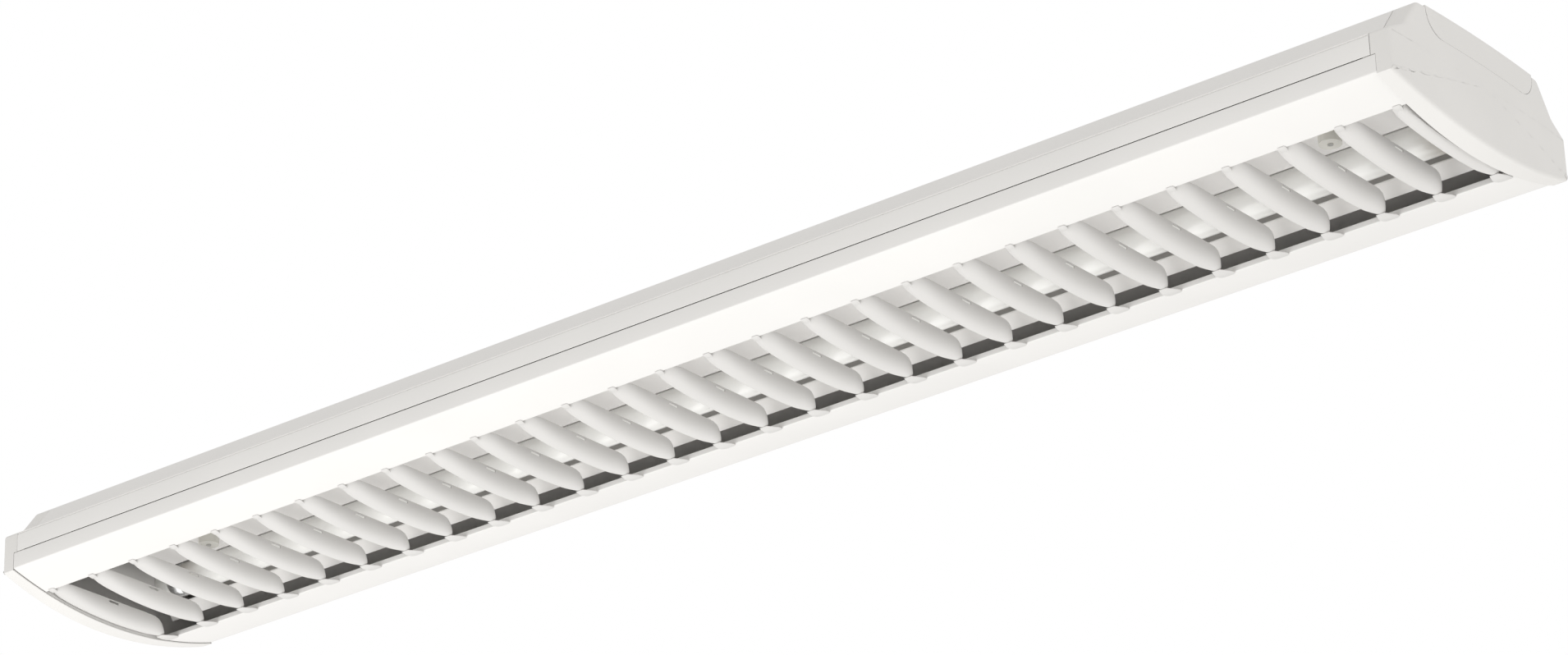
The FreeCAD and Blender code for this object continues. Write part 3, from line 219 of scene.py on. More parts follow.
def tinted(color, factor):
    return (*[channel * factor for channel in color], 1.0)


def powder_coat(name, color, peel, roughness=0.36):
    """Powder coat on sheet steel: fine orange peel and a faint film of dust."""
    n = Nodes(name)
    waves = n.noise(700.0, 3.0)
    cloud = n.noise(9.0, 4.0)
    base = n.blend(cloud.step(0.35, 0.7), tinted(color, 0.985), tinted(color, 1.01))
    shader = n.node("ShaderNodeBsdfPrincipled", {}, {
        "Base Color": base, "Roughness": roughness + cloud * 0.1, "Normal": n.bump(waves, 0.00003, peel)})
    return n.output(shader)


def moulding(name, color, roughness=0.45, grain=0.2, marks=0.0):
    """Moulded plastic: spark-eroded grain, slow changes of gloss, and a few dark scuffs if asked for."""
    n = Nodes(name)
    fine = n.noise(2400.0, 2.0)
    slow = n.noise(14.0, 3.0)
    base = n.blend(slow.step(0.3, 0.75), tinted(color, 0.98), tinted(color, 1.012))
    if marks:
        scuff = n.noise(60.0, 6.0, roughness=0.75).step(0.66, 0.74) * marks
        base = n.blend(scuff, base, tinted(color, 0.8))
    shader = n.node("ShaderNodeBsdfPrincipled", {}, {
        "Base Color": base, "Roughness": roughness + slow * 0.12, "Normal": n.bump(fine, 0.00002, grain)})
    return n.output(shader)


def metal(name, color, roughness=0.3, stretch=(1.0, 1.0, 1.0), tarnish=0.1):
    """Bare or plated metal with fine drawing lines and a little tarnish."""
    n = Nodes(name)
    along = n.node("ShaderNodeVectorMath", {"operation": "MULTIPLY"}, {0: n.place(), 1: stretch})
    lines = n.noise(600.0, 3.0, where=along)
    slow = n.noise(40.0, 4.0)
    base = n.blend(slow.step(0.4, 0.8) * tarnish, rgba(color), tinted(color, 0.6))
    shader = n.node("ShaderNodeBsdfPrincipled", {}, {
        "Base Color": base, "Metallic": 1.0, "Roughness": roughness + lines * 0.15,
        "Normal": n.bump(lines, 0.00001, 0.3)})
    return n.output(shader)


def lamp_glass(name, glow):
    """White phosphor behind glass, a little darker towards the ends of the tube."""
    n = Nodes(name)
    along = n.node("ShaderNodeSeparateXYZ", {}, {0: n.place()}, "X")
    ends = along.math("ABSOLUTE").step(0.555, 0.592)
    speck = n.noise(160.0, 3.0)
    white = n.blend(speck.step(0.3, 0.8), (0.86, 0.86, 0.84, 1), (0.89, 0.89, 0.87, 1))
    shader = n.node("ShaderNodeBsdfPrincipled", {}, {
        "Base Color": n.blend(ends, white, (0.5, 0.47, 0.42, 1)), "Roughness": 0.35,
        "Coat Weight": 0.6, "Coat Roughness": 0.04,
        "Emission Color": n.blend(ends, (1, 0.985, 0.95, 1), (0.25, 0.22, 0.18, 1)),
        "Emission Strength": glow, "Normal": n.bump(speck, 0.00001, 0.2)})
    return n.output(shader)


def laminate(name):
    """Green circuit board lacquer with pale tracks."""
    n = Nodes(name)
    tracks = n.node("ShaderNodeTexVoronoi", {"feature": "DISTANCE_TO_EDGE"}, {
        "Vector": n.place(), "Scale": 180.0}, "Distance")
    edge = tracks.step(0.02, 0.06)
    shader = n.node("ShaderNodeBsdfPrincipled", {}, {
        "Base Color": n.blend(edge, (0.16, 0.4, 0.2, 1), (0.04, 0.19, 0.09, 1)),
        "Roughness": 0.3 + n.noise(300.0) * 0.15, "Normal": n.bump(edge, 0.00003, 0.3)})
    return n.output(shader)


def insulation(name, color, stripe=None):
    """Soft insulation of a lead, with a second colour along it if asked for."""
    n = Nodes(name)
    fine = n.noise(500.0, 2.0)
    base = n.blend(fine, tinted(color, 0.95), tinted(color, 1.03))
    if stripe:
        across = n.node("ShaderNodeSeparateXYZ", {}, {0: n.place()}, "Z")
        base = n.blend((across + 0.009).step(-0.0003, 0.0003), base, rgba(stripe))
    shader = n.node("ShaderNodeBsdfPrincipled", {}, {
        "Base Color": base, "Roughness": 0.42 + fine * 0.1, "Normal": n.bump(fine, 0.00002, 0.25)})
    return n.output(shader)


def make_finishes(finish):
    """One material for each material slot of the record."""
    steel = (0.62, 0.62, 0.6)
    return {
        "housing_paint": powder_coat("housing_paint", finish.paint, finish.peel),
        "cap_plastic": moulding("cap_plastic", finish.plastic, 0.42, 0.22),
        "louvre_paint": powder_coat("louvre_paint", finish.blades, finish.peel, 0.42),
        "reflector_paint": powder_coat("reflector_paint", finish.reflector, finish.peel * 0.5, 0.4),
        "holder_plastic": moulding("holder_plastic", (0.8, 0.8, 0.77), 0.36, 0.1),
        "zinc_steel": metal("zinc_steel", steel, 0.28, (1, 1, 6)),
        "nylon": moulding("nylon", (0.76, 0.75, 0.7), 0.5, 0.3),
        "ballast_case": powder_coat("ballast_case", (0.74, 0.74, 0.72), finish.peel),
        "circuit_board": laminate("circuit_board"),
        "terminal_plastic": moulding("terminal_plastic", (0.76, 0.75, 0.7), 0.4, 0.2, 0.5),
        "brass": metal("brass", (0.76, 0.6, 0.3), 0.22, (1, 1, 8), 0.4),
        "grommet_rubber": moulding("grommet_rubber", (0.03, 0.03, 0.03), 0.7, 0.6),
        "lead_green": insulation("lead_green", (0.1, 0.4, 0.08), (0.75, 0.7, 0.08)),
        "lead_white": insulation("lead_white", (0.78, 0.78, 0.75)),
        "lamp_glass": lamp_glass("lamp_glass", finish.glow),
        "lamp_cap_metal": metal("lamp_cap_metal", (0.78, 0.78, 0.78), 0.25, (6, 1, 1)),
    }


# ---------------------------------------------------------------- sizes
# in millimetres, as in the construction model

HALF_LENGTH = 640.0
HALF_WIDTH = 108.5
ROOF_HALF, WAIST_HALF = 74.0, 91.0
WAIST_DROP, SHOULDER_DROP, SEAM_DROP, BAND_DROP, BELLY_DROP = 22.0, 31.0, 46.6, 60.0, 77.0
HOUSING_HALF = 620.0
RIM_INNER = 623.5
RIM_PROUD, RIM_LIP, LIP_WALL = 1.2, 5.5, 1.5
CAP_WALL, CAP_BOW = 2.2, 4.5
COLLAR_INNER, COLLAR_INSET, COLLAR_WALL = 613.4, 1.1, 1.6
BLANK_HALF, BLANK_HEIGHT, BLANK_RADIUS, BLANK_WALL, BLANK_GAP = 66.0, 19.8, 17.0, 1.8, 0.25
RAIL_HALF, RAIL_TOP, RAIL_SHEET, RAIL_RETURN = 622.9, -46.9, 1.0, 13.0
OPENING = {-1: 73.0, 1: 57.0}
FLANGE_LIP = 3.4
HINGE_Y, HINGE_Z, HINGE_RADIUS, HINGE_BORE = 106.0, -49.4, 2.5, 1.25
TONGUE_HALF, TONGUE_HEIGHT, CATCH_HALF_SPAN, CATCH_WIDTH = 99.0, 10.0, 450.0, 16.0
REFLECTOR_SHEET, REFLECTOR_BEHIND, REFLECTOR_LOW, REFLECTOR_LEAN = 0.6, 2.0, -57.4, 8.0
REFLECTOR_WEB, REFLECTOR_TOP, REFLECTOR_REACH = 97.0, -46.3, 617.9
BLADE_FIRST, BLADE_PITCH, CELLS = 616.0, 44.0, 28
BLADE_HALF, BLADE_TOP, BLADE_SHEET, BLADE_TAPER = 10.0, -64.6, 0.8, 22.0
BLADE_END = {-1: -72.3, 1: 45.0}
BLADE_END_HALF = {-1: 7.0, 1: 3.2}
BLADE_FAR_RISE, BLADE_FALL_RADIUS, END_BLADE_REACH = 1.8, 34.0, 6.0
BLADE_SLOT, BLADE_SLOT_HALF, BLADE_SLOT_TOP, BLADE_SLOT_LOW = -17.0, 5.0, 1.0, 2.8
TAB_REACH, TAB_WALL, TAB_GAP, TAB_ROOT = 2.6, 0.7, 0.15, 2.0
LAMP_HALF, LAMP_RADIUS, LAMP_Y, LAMP_Z, LAMP_CAP = 599.7, 13.0, 44.0, -33.0, 16.0
PIN_OFFSET, PIN_RADIUS, PIN_REACH = 6.35, 1.175, 7.1
HOLDER_FACE, HOLDER_BACK, HOLDER_HALF, HOLDER_TOP = 600.0, 611.9, 12.0, -5.5
ROTOR_RADIUS, ROTOR_FACE, ROTOR_THICK, ROTOR_FLOOR, PIN_SLOT = 8.2, 600.3, 7.3, 0.6, 2.8
TRAY_SHEET, TRAY_REACH = 0.6, 598.3
TRAY = ((24.0, -28.5), (30.0, -15.0), (68.0, -15.0), (80.0, -42.0))

SAG = BELLY_DROP - BAND_DROP
BELLY_RADIUS = (HALF_WIDTH ** 2 + SAG ** 2) / (2 * SAG)
BOW_RADIUS = (HALF_WIDTH ** 2 + CAP_BOW ** 2) / (2 * CAP_BOW)


def belly(y, rise=0.0):
    """Height of the curved underside, or of a curve parallel to it, at a distance from the middle."""
    return BELLY_RADIUS - BELLY_DROP - math.sqrt((BELLY_RADIUS - rise) ** 2 - y * y)


def end_face(y):
    """Place along X of the bulging end face."""
    return HALF_LENGTH - BOW_RADIUS + math.sqrt(BOW_RADIUS ** 2 - y * y)


# ---------------------------------------------------------------- mesh helpers

def add_piece(name, points, faces, finish, body, stands_for=(), smooth=35.0):
    """A closed mesh in millimetres becomes a piece that rides on a body."""
    data = bpy.data.meshes.new(name)
    data.from_pydata([Vector(point) * MM for point in points], [], faces)
    form = bmesh.new()
    form.from_mesh(data)
    bmesh.ops.remove_doubles(form, verts=form.verts, dist=0.000004)
    bmesh.ops.dissolve_degenerate(form, edges=form.edges, dist=0.000002)
    bmesh.ops.recalc_face_normals(form, faces=form.faces)
    form.to_mesh(data)
    form.free()
    for polygon in data.polygons:
        polygon.use_smooth = True
    data.set_sharp_from_angle(angle=math.radians(smooth))
    data.materials.append(FINISHES[finish])
    piece = bpy.data.objects.new(name, data)
    bpy.context.scene.collection.objects.link(piece)
    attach(piece, body)
    if stands_for:
        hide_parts(*stands_for)
    return piece


FINISHES = {}


def unit(x, y):
    length = math.hypot(x, y) or 1.0
    return x / length, y / length


def rounded_path(points, radii, steps=5):
    """A closed outline with an arc in place of every corner that has a radius."""
    path = []
    count = len(points)
    for number, (x, y) in enumerate(points):
        radius = radii[number] if isinstance(radii, (list, tuple)) else radii
        before, after = points[number - 1], points[(number + 1) % count]
        ax, ay = unit(before[0] - x, before[1] - y)
        bx, by = unit(after[0] - x, after[1] - y)
        half = math.acos(max(-1.0, min(1.0, ax * bx + ay * by))) / 2
        if radius <= 0 or half > 1.55:
            path.append((x, y))
            continue
        room = 0.49 * min(math.hypot(before[0] - x, before[1] - y), math.hypot(after[0] - x, after[1] - y))
        reach = min(radius / math.tan(half), room)
        radius = reach * math.tan(half)
        mx, my = unit(ax + bx, ay + by)
        cx, cy = x + mx * radius / math.sin(half), y + my * radius / math.sin(half)
        start = math.atan2(y + ay * reach - cy, x + ax * reach - cx)
        end = math.atan2(y + by * reach - cy, x + bx * reach - cx)
        turn = (end - start + math.pi) % (2 * math.pi) - math.pi
        angles = [start + turn * k / steps for k in range(steps + 1)]
        path += [(cx + radius * math.cos(angle), cy + radius * math.sin(angle)) for angle in angles]
    return path


def inset_path(path, amount):
    """The closed outline moved inwards; it runs anticlockwise."""
    moved = []
    count = len(path)
    for number, (x, y) in enumerate(path):
        back, step = number - 1, number + 1
        while math.dist(path[back % count], (x, y)) < 1e-6:
            back -= 1
        while math.dist(path[step % count], (x, y)) < 1e-6:
            step += 1
        ax, ay = unit(x - path[back % count][0], y - path[back % count][1])
        bx, by = unit(path[step % count][0] - x, path[step % count][1] - y)
        nx, ny = unit(-ay - by, ax + bx)
        share = max(0.5, nx * -ay + ny * ax)
        moved.append((x + nx * amount / share, y + ny * amount / share))
    return moved


def skin(rings, close=True):
    """Faces between neighbouring rings of one length; the points are the rings one after another."""
    size = len(rings[0])
    faces = []
    for row in range(len(rings) - 1):
        for k in range(size if close else size - 1):
            after = (k + 1) % size
            faces.append((row * size + k, row * size + after, (row + 1) * size + after, (row + 1) * size + k))
    return faces


def capped(rings):
    """A closed body over rings of one length, with a face at each end."""
    size = len(rings[0])
    last = (len(rings) - 1) * size
    return ([point for ring in rings for point in ring],
            skin(rings) + [tuple(range(size)), tuple(range(last, last + size))])


def section_bar(path, half, shift=0.0):
    """Points and faces of a bar of one closed section in Y and Z, from -half to half along X."""
    rings = [[(shift + half * share, y, z) for y, z in path] for share in (-1, -0.5, 0, 0.5, 1)]
    faces = skin(rings)
    size = len(path)
    faces += [tuple(range(size)), tuple(range(size * 4, size * 5))]
    return [point for ring in rings for point in ring], faces


def joined(*shapes):
    """One list of points and one of faces from several."""
    points, faces = [], []
    for more_points, more_faces in shapes:
        start = len(points)
        points += more_points
        faces += [tuple(start + k for k in face) for face in more_faces]
    return points, faces


def sheet_path(points, thickness, bend):
    """Closed section of folded sheet along an open line; the sheet lies to the right of the way."""
    count = len(points)
    normals = []
    for number in range(count - 1):
        dx, dy = unit(points[number + 1][0] - points[number][0], points[number + 1][1] - points[number][1])
        normals.append((dy, -dx))
    other = []
    for number, (x, y) in enumerate(points):
        first, last = normals[max(0, number - 1)], normals[min(count - 2, number)]
        nx, ny = unit(first[0] + last[0], first[1] + last[1])
        share = nx * first[0] + ny * first[1]
        other.append((x + nx * thickness / share, y + ny * thickness / share))
    edge = thickness * 0.3
    radii = [edge] + [bend] * (count - 2) + [edge, edge] + [bend] * (count - 2) + [edge]
    return rounded_path(list(points) + other[::-1], radii, 4)


def turned(profile, axis_y, axis_z, steps=32):
    """A closed surface turned about an axis along X, from (x, radius) pairs; radius 0 closes it."""
    rings = []
    for x, radius in profile:
        rings.append([(x, axis_y + radius * math.cos(2 * math.pi * k / steps),
                       axis_z + radius * math.sin(2 * math.pi * k / steps)) for k in range(steps)])
    return [point for ring in rings for point in ring], skin(rings)


def flipped_x(shape):
    """The same on the other side of X = 0."""
    points, faces = shape
    return [(-x, y, z) for x, y, z in points], [tuple(reversed(face)) for face in faces]


def cut_out(context, piece, shape, smooth):
    """Take a closed shape in millimetres out of a piece."""
    data = bpy.data.meshes.new("cutter")
    data.from_pydata([Vector(point) * MM for point in shape[0]], [], shape[1])
    form = bmesh.new()
    form.from_mesh(data)
    bmesh.ops.recalc_face_normals(form, faces=form.faces)
    form.to_mesh(data)
    form.free()
    cutter = bpy.data.objects.new("cutter", data)
    context.scene.collection.objects.link(cutter)
    opening = piece.modifiers.new("opening", "BOOLEAN")
    opening.operation = "DIFFERENCE"
    opening.object = cutter
    opening.solver = "EXACT"
    context.view_layer.update()
    shown = piece.evaluated_get(context.evaluated_depsgraph_get())
    finished = bpy.data.meshes.new_from_object(shown)
    piece.modifiers.clear()
    piece.data = finished
    finished.set_sharp_from_angle(angle=math.radians(smooth))
    bpy.data.objects.remove(cutter)


# ---------------------------------------------------------------- end caps

def cap_outline():
    """Outline of a cap in Y and Z, anticlockwise from the near seam point.

    It also says whether each point is below the seam.
    """
    corner = -BAND_DROP - RIM_PROUD
    arc = [(HALF_WIDTH * math.sin(math.pi / 2 * k / 20), 0) for k in range(-20, 21)]
    arc = [(y, belly(y) - RIM_PROUD) for y, _z in arc]
    lower = [(-HALF_WIDTH, -SEAM_DROP)] + arc + [(HALF_WIDTH, -SEAM_DROP)]
    lower = rounded_path(lower, [0] + [2.2] + [0] * (len(arc) - 2) + [2.2] + [0], 5)
    upper = [(HALF_WIDTH, -SHOULDER_DROP), (WAIST_HALF, -WAIST_DROP), (ROOF_HALF, 0.0),
             (-ROOF_HALF, 0.0), (-WAIST_HALF, -WAIST_DROP), (-HALF_WIDTH, -SHOULDER_DROP)]
    whole = rounded_path([(-HALF_WIDTH, -SEAM_DROP), (0, corner - 20), (HALF_WIDTH, -SEAM_DROP)] + upper,
                         [0, 0, 0, 2.5, 9, 5, 5, 9, 2.5], 6)
    upper = whole[2:]
    roof = max(range(len(upper) - 1), key=lambda k: abs(upper[k][0] - upper[k + 1][0]))
    (first, z), (last, _z) = upper[roof], upper[roof + 1]
    middle = [(first + (last - first) * k / 12, z) for k in range(1, 12)]
    upper = upper[:roof + 1] + middle + upper[roof + 1:]
    path = lower + upper[1:] + [(-HALF_WIDTH, -SEAM_DROP)]
    below = [True] * len(lower) + [False] * (len(path) - len(lower))
    # the seam points appear twice, once for the part above and once for the rim below
    path.insert(len(lower), (HALF_WIDTH, -SEAM_DROP))
    below.insert(len(lower), False)
    return path, below


def cap_shell(edge):
    """The right cap: outer surface, rounded edge, bulging face, and the same again inside."""
    path, below = cap_outline()
    rings = []

    def add(inset, place):
        moved = inset_path(path, inset) if inset else path
        rings.append([(place(y, low), y, z) for (y, z), low in zip(moved, below)])

    def add_face(inset, depth):
        moved = inset_path(path, inset) if inset else path
        for share in (0.97, 0.9, 0.8, 0.65, 0.5, 0.35, 0.2, 0.08, 0.0):
            rings.append([(end_face(y * share) - depth, y * share, -36 + (z + 36) * share) for y, z in moved])

    def add_face_inside(inset, depth):
        before = len(rings)
        add_face(inset, depth)
        rings[before:] = reversed(rings[before:])

    small = 0.5
    add_face_inside(CAP_WALL, CAP_WALL)
    add(CAP_WALL, lambda y, low: end_face(y) - CAP_WALL)
    add(CAP_WALL, lambda y, low: RIM_INNER + 3 if low else HOUSING_HALF + 3)
    add(COLLAR_INSET + COLLAR_WALL, lambda y, low: RIM_INNER + 1 if low else COLLAR_INNER)
    add(COLLAR_INSET, lambda y, low: RIM_INNER if low else COLLAR_INNER)
    add(COLLAR_INSET, lambda y, low: RIM_INNER if low else HOUSING_HALF)
    add(small, lambda y, low: RIM_INNER if low else HOUSING_HALF)
    add(small * 0.3, lambda y, low: RIM_INNER if low else HOUSING_HALF + small * 0.3)
    add(0, lambda y, low: RIM_INNER + 0.1 if low else HOUSING_HALF + small)
    for share in (0.0, 1.0):
        add(0, lambda y, low, part=share: (RIM_INNER + 2) * (1 - part) + (end_face(y) - edge) * part)
    for k in range(1, 6):
        angle = math.pi / 2 * k / 5
        add(edge * (1 - math.cos(angle)), lambda y, low, a=angle: end_face(y) - edge * (1 - math.sin(a)))
    add_face(edge, 0.0)
    return [point for ring in rings for point in ring], skin(rings)


def cap_lip():
    """The upright lip along the rim, seen through the last cell of the louvre."""
    def curve(inset, rise):
        half = HALF_WIDTH - inset
        sweep = [half * math.sin(math.pi / 2 * k / 20) for k in range(-20, 21)]
        return [(-half, -SEAM_DROP - 1.5)] + [(y, belly(y) - RIM_PROUD + rise) for y in sweep] + [
            (half, -SEAM_DROP - 1.5)]
    outer, inner = curve(0.8, 0.9), curve(CAP_WALL, RIM_LIP)
    soft = 0.4
    rings = []
    near_inner = curve(CAP_WALL - soft, RIM_LIP - soft)
    for x, line in ((RIM_INNER, outer), (RIM_INNER, near_inner), (RIM_INNER + soft, inner),
                    (RIM_INNER + LIP_WALL - soft, inner), (RIM_INNER + LIP_WALL, near_inner),
                    (RIM_INNER + LIP_WALL, outer), (RIM_INNER, outer)):
        rings.append([(x, y, z) for y, z in line])
    size = len(outer)
    faces = skin(rings, close=False)
    faces += [tuple(row * size + end for row in range(6)) for end in (0, size - 1)]
    return [point for ring in rings for point in ring], faces


def blank_outline(gap, near_radius=BLANK_RADIUS):
    """Outline of the blank in Y and Z: straight along the roof, with two round lower corners."""
    half, low = BLANK_HALF - gap, -BLANK_HEIGHT + gap
    path = []
    for side, radius, start in ((-1, near_radius - gap, math.pi), (1, BLANK_RADIUS - gap, 1.5 * math.pi)):
        path += [(side * (half - radius) + radius * math.cos(start + math.pi / 2 * k / 12),
                  low + radius + radius * math.sin(start + math.pi / 2 * k / 12)) for k in range(13)]
    path += [(half, 0.0), (-half, 0.0)]
    dense = []
    for number, (y, z) in enumerate(path):
        ny, nz = path[(number + 1) % len(path)]
        pieces = max(1, int(abs(ny - y) / 6))
        dense += [(y + (ny - y) * k / pieces, z + (nz - z) * k / pieces) for k in range(pieces)]
    return dense


def blank_plate():
    """The cable entry blank of the right cap: a plate that follows the bulge, with softened edges."""
    path = blank_outline(BLANK_GAP, BLANK_RADIUS + 2.4)
    rings = []

    def add_face(inset, depth, shares):
        moved = inset_path(path, inset)
        for share in shares:
            rings.append([(end_face(y) - depth, y, -7 + (z + 7) * share) if share else (
                end_face(y * 0.9) - depth, y * 0.9, -7.0) for y, z in moved])

    add_face(0.35, BLANK_WALL, (0.0, 0.5, 1.0))
    rings.append([(end_face(y) - BLANK_WALL, y, z) for y, z in path])
    for k in range(0, 4):
        angle = math.pi / 2 * k / 3
        soft = 0.35
        moved = inset_path(path, soft * (1 - math.cos(angle)))
        rings.append([(end_face(y) - soft * (1 - math.sin(angle)), y, z) for y, z in moved])
    add_face(0.35, 0.0, (1.0, 0.5, 0.0))
    return [point for ring in rings for point in ring], skin(rings)


class LUMINAIRE_OT_end_caps(bpy.types.Operator):
    """Build the moulded end caps with their rims and cable entry blanks."""
    bl_idname = "luminaire.end_caps"
    bl_label = "End caps"

    def execute(self, context):
        shell = joined(cap_shell(context.scene.luminaire_shape.cap_edge), cap_lip())
        plate = blank_plate()
        path = [(y, z + (4 if z > -0.01 else 0)) for y, z in blank_outline(0)]
        rings = [[(x, y, z) for y, z in path] for x in (HALF_LENGTH - 6.7, HALF_LENGTH + 3)]
        opening = capped(rings)
        for side, place in (("right", lambda shape: shape), ("left", flipped_x)):
            cap = add_piece(f"cap_{side}", *place(shell), "cap_plastic", "fixture", (f"end_cap_{side}",), 32)
            cut_out(context, cap, place(opening), 32)
            add_piece(f"blank_{side}", *place(plate), "cap_plastic", "fixture", (f"entry_blank_{side}",), 32)
        return {"FINISHED"}


# ---------------------------------------------------------------- housing

def housing_path():
    """Closed section of the housing's folded sheet, with a fine groove under each shoulder."""
    foot, depth = -SEAM_DROP + 0.3, 0.6
    outer = [(HALF_WIDTH, foot, 0.3), (HALF_WIDTH, -SHOULDER_DROP - 1.8, 0.1),
             (HALF_WIDTH - depth, -SHOULDER_DROP - 1.7, 0), (HALF_WIDTH - depth, -SHOULDER_DROP - 0.8, 0),
             (HALF_WIDTH, -SHOULDER_DROP - 0.7, 0.1), (HALF_WIDTH, -SHOULDER_DROP, 0.6),
             (WAIST_HALF, -WAIST_DROP, 9), (ROOF_HALF, 0.0, 5)]
    inner = [(HALF_WIDTH - 0.8, foot, 0.1), (HALF_WIDTH - 0.8, -SHOULDER_DROP - 0.4, 1),
             (WAIST_HALF - 0.4, -WAIST_DROP - 0.8, 9.8), (ROOF_HALF - 0.4, -0.8, 4.2)]
    points = outer + [(-y, z, r) for y, z, r in reversed(outer)] + inner_reversed(inner)
    return rounded_path([(y, z) for y, z, _r in points], [r for _y, _z, r in points], 6)


def inner_reversed(inner):
    """The inner side of the sheet, back from the near foot to the far foot."""
    return [(-y, z, r) for y, z, r in inner] + list(reversed(inner))


class LUMINAIRE_OT_housing(bpy.types.Operator):
    """Build the folded housing with its fixing holes and cable entry."""
    bl_idname = "luminaire.housing"
    bl_label = "Housing"

    def execute(self, context):
        bar = section_bar(housing_path(), HOUSING_HALF - 0.35)
        housing = add_piece("housing", *bar, "housing_paint", "fixture", ("housing_shell",), 28)
        drills = []
        for x, y, radius in [(x, y, 3.25) for x in (-450, 450) for y in (-45, 45)] + [(60, 0, 10.15)]:
            angles = [2 * math.pi * k / 40 for k in range(40)]
            drills.append(capped([[(x + radius * math.cos(angle), y + radius * math.sin(angle), z)
                                   for angle in angles] for z in (-3, 2)]))
        cut_out(context, housing, joined(*drills), 28)
        return {"FINISHED"}


# ---------------------------------------------------------------- louvre

def rail_path(side, bend):
    """Closed section of a rail: outer band, curved flange with an upturned edge, and the top return."""
    inner = OPENING[side]
    outer = HALF_WIDTH
    sheet = RAIL_SHEET
    steps = 10
    sweep = [outer + (inner - outer) * k / steps for k in range(1, steps)]
    back = [inner + sheet + (outer - inner - 2 * sheet) * k / steps for k in range(1, steps)]
    lip = belly(inner) + sheet + FLANGE_LIP
    points = [(outer, RAIL_TOP, 0.8), (outer, -BAND_DROP, bend)] + [(y, belly(y), 0) for y in sweep]
    points += [(inner, belly(inner), 0.7), (inner, lip, 0.4), (inner + sheet, lip, 0.4),
               (inner + sheet, belly(inner + sheet, sheet), 0.3)]
    points += [(y, belly(y, sheet), 0) for y in back]
    points += [(outer - sheet, belly(outer - sheet, sheet), bend - 0.8),
               (outer - sheet, RAIL_TOP - sheet, 0.2),
               (outer - RAIL_RETURN, RAIL_TOP - sheet, 0.3), (outer - RAIL_RETURN, RAIL_TOP, 0.3)]
    path = rounded_path([(y, z) for y, z, _r in points], [r for _y, _z, r in points], 5)
    return [(side * y, z) for y, z in path]


def hinge_bead(ends):
    """The rolled bead along the top of the far rail, open at both ends for the pins."""
    deep, rim = ends - 14.4, HINGE_RADIUS - 0.2
    right = [(ends - 0.2, HINGE_RADIUS), (ends, rim), (ends, HINGE_BORE), (deep, HINGE_BORE), (deep, 0.0)]
    profile = [(-x, radius) for x, radius in reversed(right)] + right
    return turned(profile, HINGE_Y, HINGE_Z, 24)


def tongue(x):
    """A tongue of the near rail, with rounded corners, that a spring catch grips."""
    half, low, high = CATCH_WIDTH / 2, RAIL_TOP - RAIL_SHEET, RAIL_TOP + TONGUE_HEIGHT
    corners = [(x - half, low), (x + half, low), (x + half, high), (x - half, high)]
    path = rounded_path(corners, [0, 0, 3, 3], 5)
    rings = []
    for y, inset in ((-TONGUE_HALF - 0.5, 0.25), (-TONGUE_HALF - 0.25, 0), (-TONGUE_HALF + 0.25, 0),
                     (-TONGUE_HALF + 0.5, 0.25)):
        rings.append([(px, y, pz) for px, pz in inset_path(path, inset)])
    return capped(rings)


class LUMINAIRE_OT_rails(bpy.types.Operator):
    """Build the two rails and the side reflectors of the louvre."""
    bl_idname = "luminaire.rails"
    bl_label = "Rails"

    def execute(self, context):
        bend = context.scene.luminaire_shape.sheet_bend
        near = section_bar(rail_path(-1, bend), RAIL_HALF + 0.225, 0.225)
        tongues = [tongue(x) for x in (-CATCH_HALF_SPAN, CATCH_HALF_SPAN)]
        add_piece("rail_near", *joined(near, *tongues), "housing_paint", "louvre", ("louvre_rail_near",), 40)
        path = [(min(y, HINGE_Y + 0.1) if z > HINGE_Z else y, z) for y, z in rail_path(1, bend)]
        far = section_bar(path, RAIL_HALF + 0.225, 0.225)
        add_piece("rail_far", *joined(far, hinge_bead(RAIL_HALF)), "housing_paint", "louvre",
                  ("louvre_rail_far",), 40)
        for side, name in ((-1, "near"), (1, "far")):
            low = OPENING[side] + REFLECTOR_BEHIND
            line = [(low, REFLECTOR_LOW), (low - REFLECTOR_LEAN, REFLECTOR_TOP),
                    (REFLECTOR_WEB, REFLECTOR_TOP)]
            path = sheet_path(line, REFLECTOR_SHEET, 1.2)
            bar = section_bar([(side * y, z) for y, z in path], REFLECTOR_REACH)
            add_piece(f"reflector_{name}", *bar, "reflector_paint", "louvre", (f"side_reflector_{name}",), 40)
        return {"FINISHED"}


def blade_half_at(y, inset):
    """Half the width of a blade across the luminaire: blunt at the near end, narrow at the far end."""
    half = BLADE_HALF + BLADE_SHEET
    for side in (-1, 1):
        end = abs(BLADE_END[side] - y)
        if end < BLADE_TAPER:
            step = BLADE_HALF + BLADE_SHEET - BLADE_END_HALF[side]
            radius = (BLADE_TAPER ** 2 + step ** 2) / (2 * step)
            half -= radius - math.sqrt(radius ** 2 - (BLADE_TAPER - end) ** 2)
    return min(half, BLADE_HALF) - inset


def blade_top_at(y):
    """Height of a blade's top edge: level, and falling in a curve to the far end."""
    start = (BLADE_END[1] - BLADE_TAPER, BLADE_TOP)
    end = (BLADE_END[1], belly(BLADE_END[1]) + BLADE_FAR_RISE)
    if y <= start[0]:
        return BLADE_TOP
    chord = math.dist(start, end)
    along, down = (end[0] - start[0]) / chord, (end[1] - start[1]) / chord
    back = math.sqrt(BLADE_FALL_RADIUS ** 2 - (chord / 2) ** 2)
    centre_y, centre_z = (start[0] + end[0]) / 2 + down * back, (start[1] + end[1]) / 2 - along * back
    return centre_z + math.sqrt(BLADE_FALL_RADIUS ** 2 - (y - centre_y) ** 2)


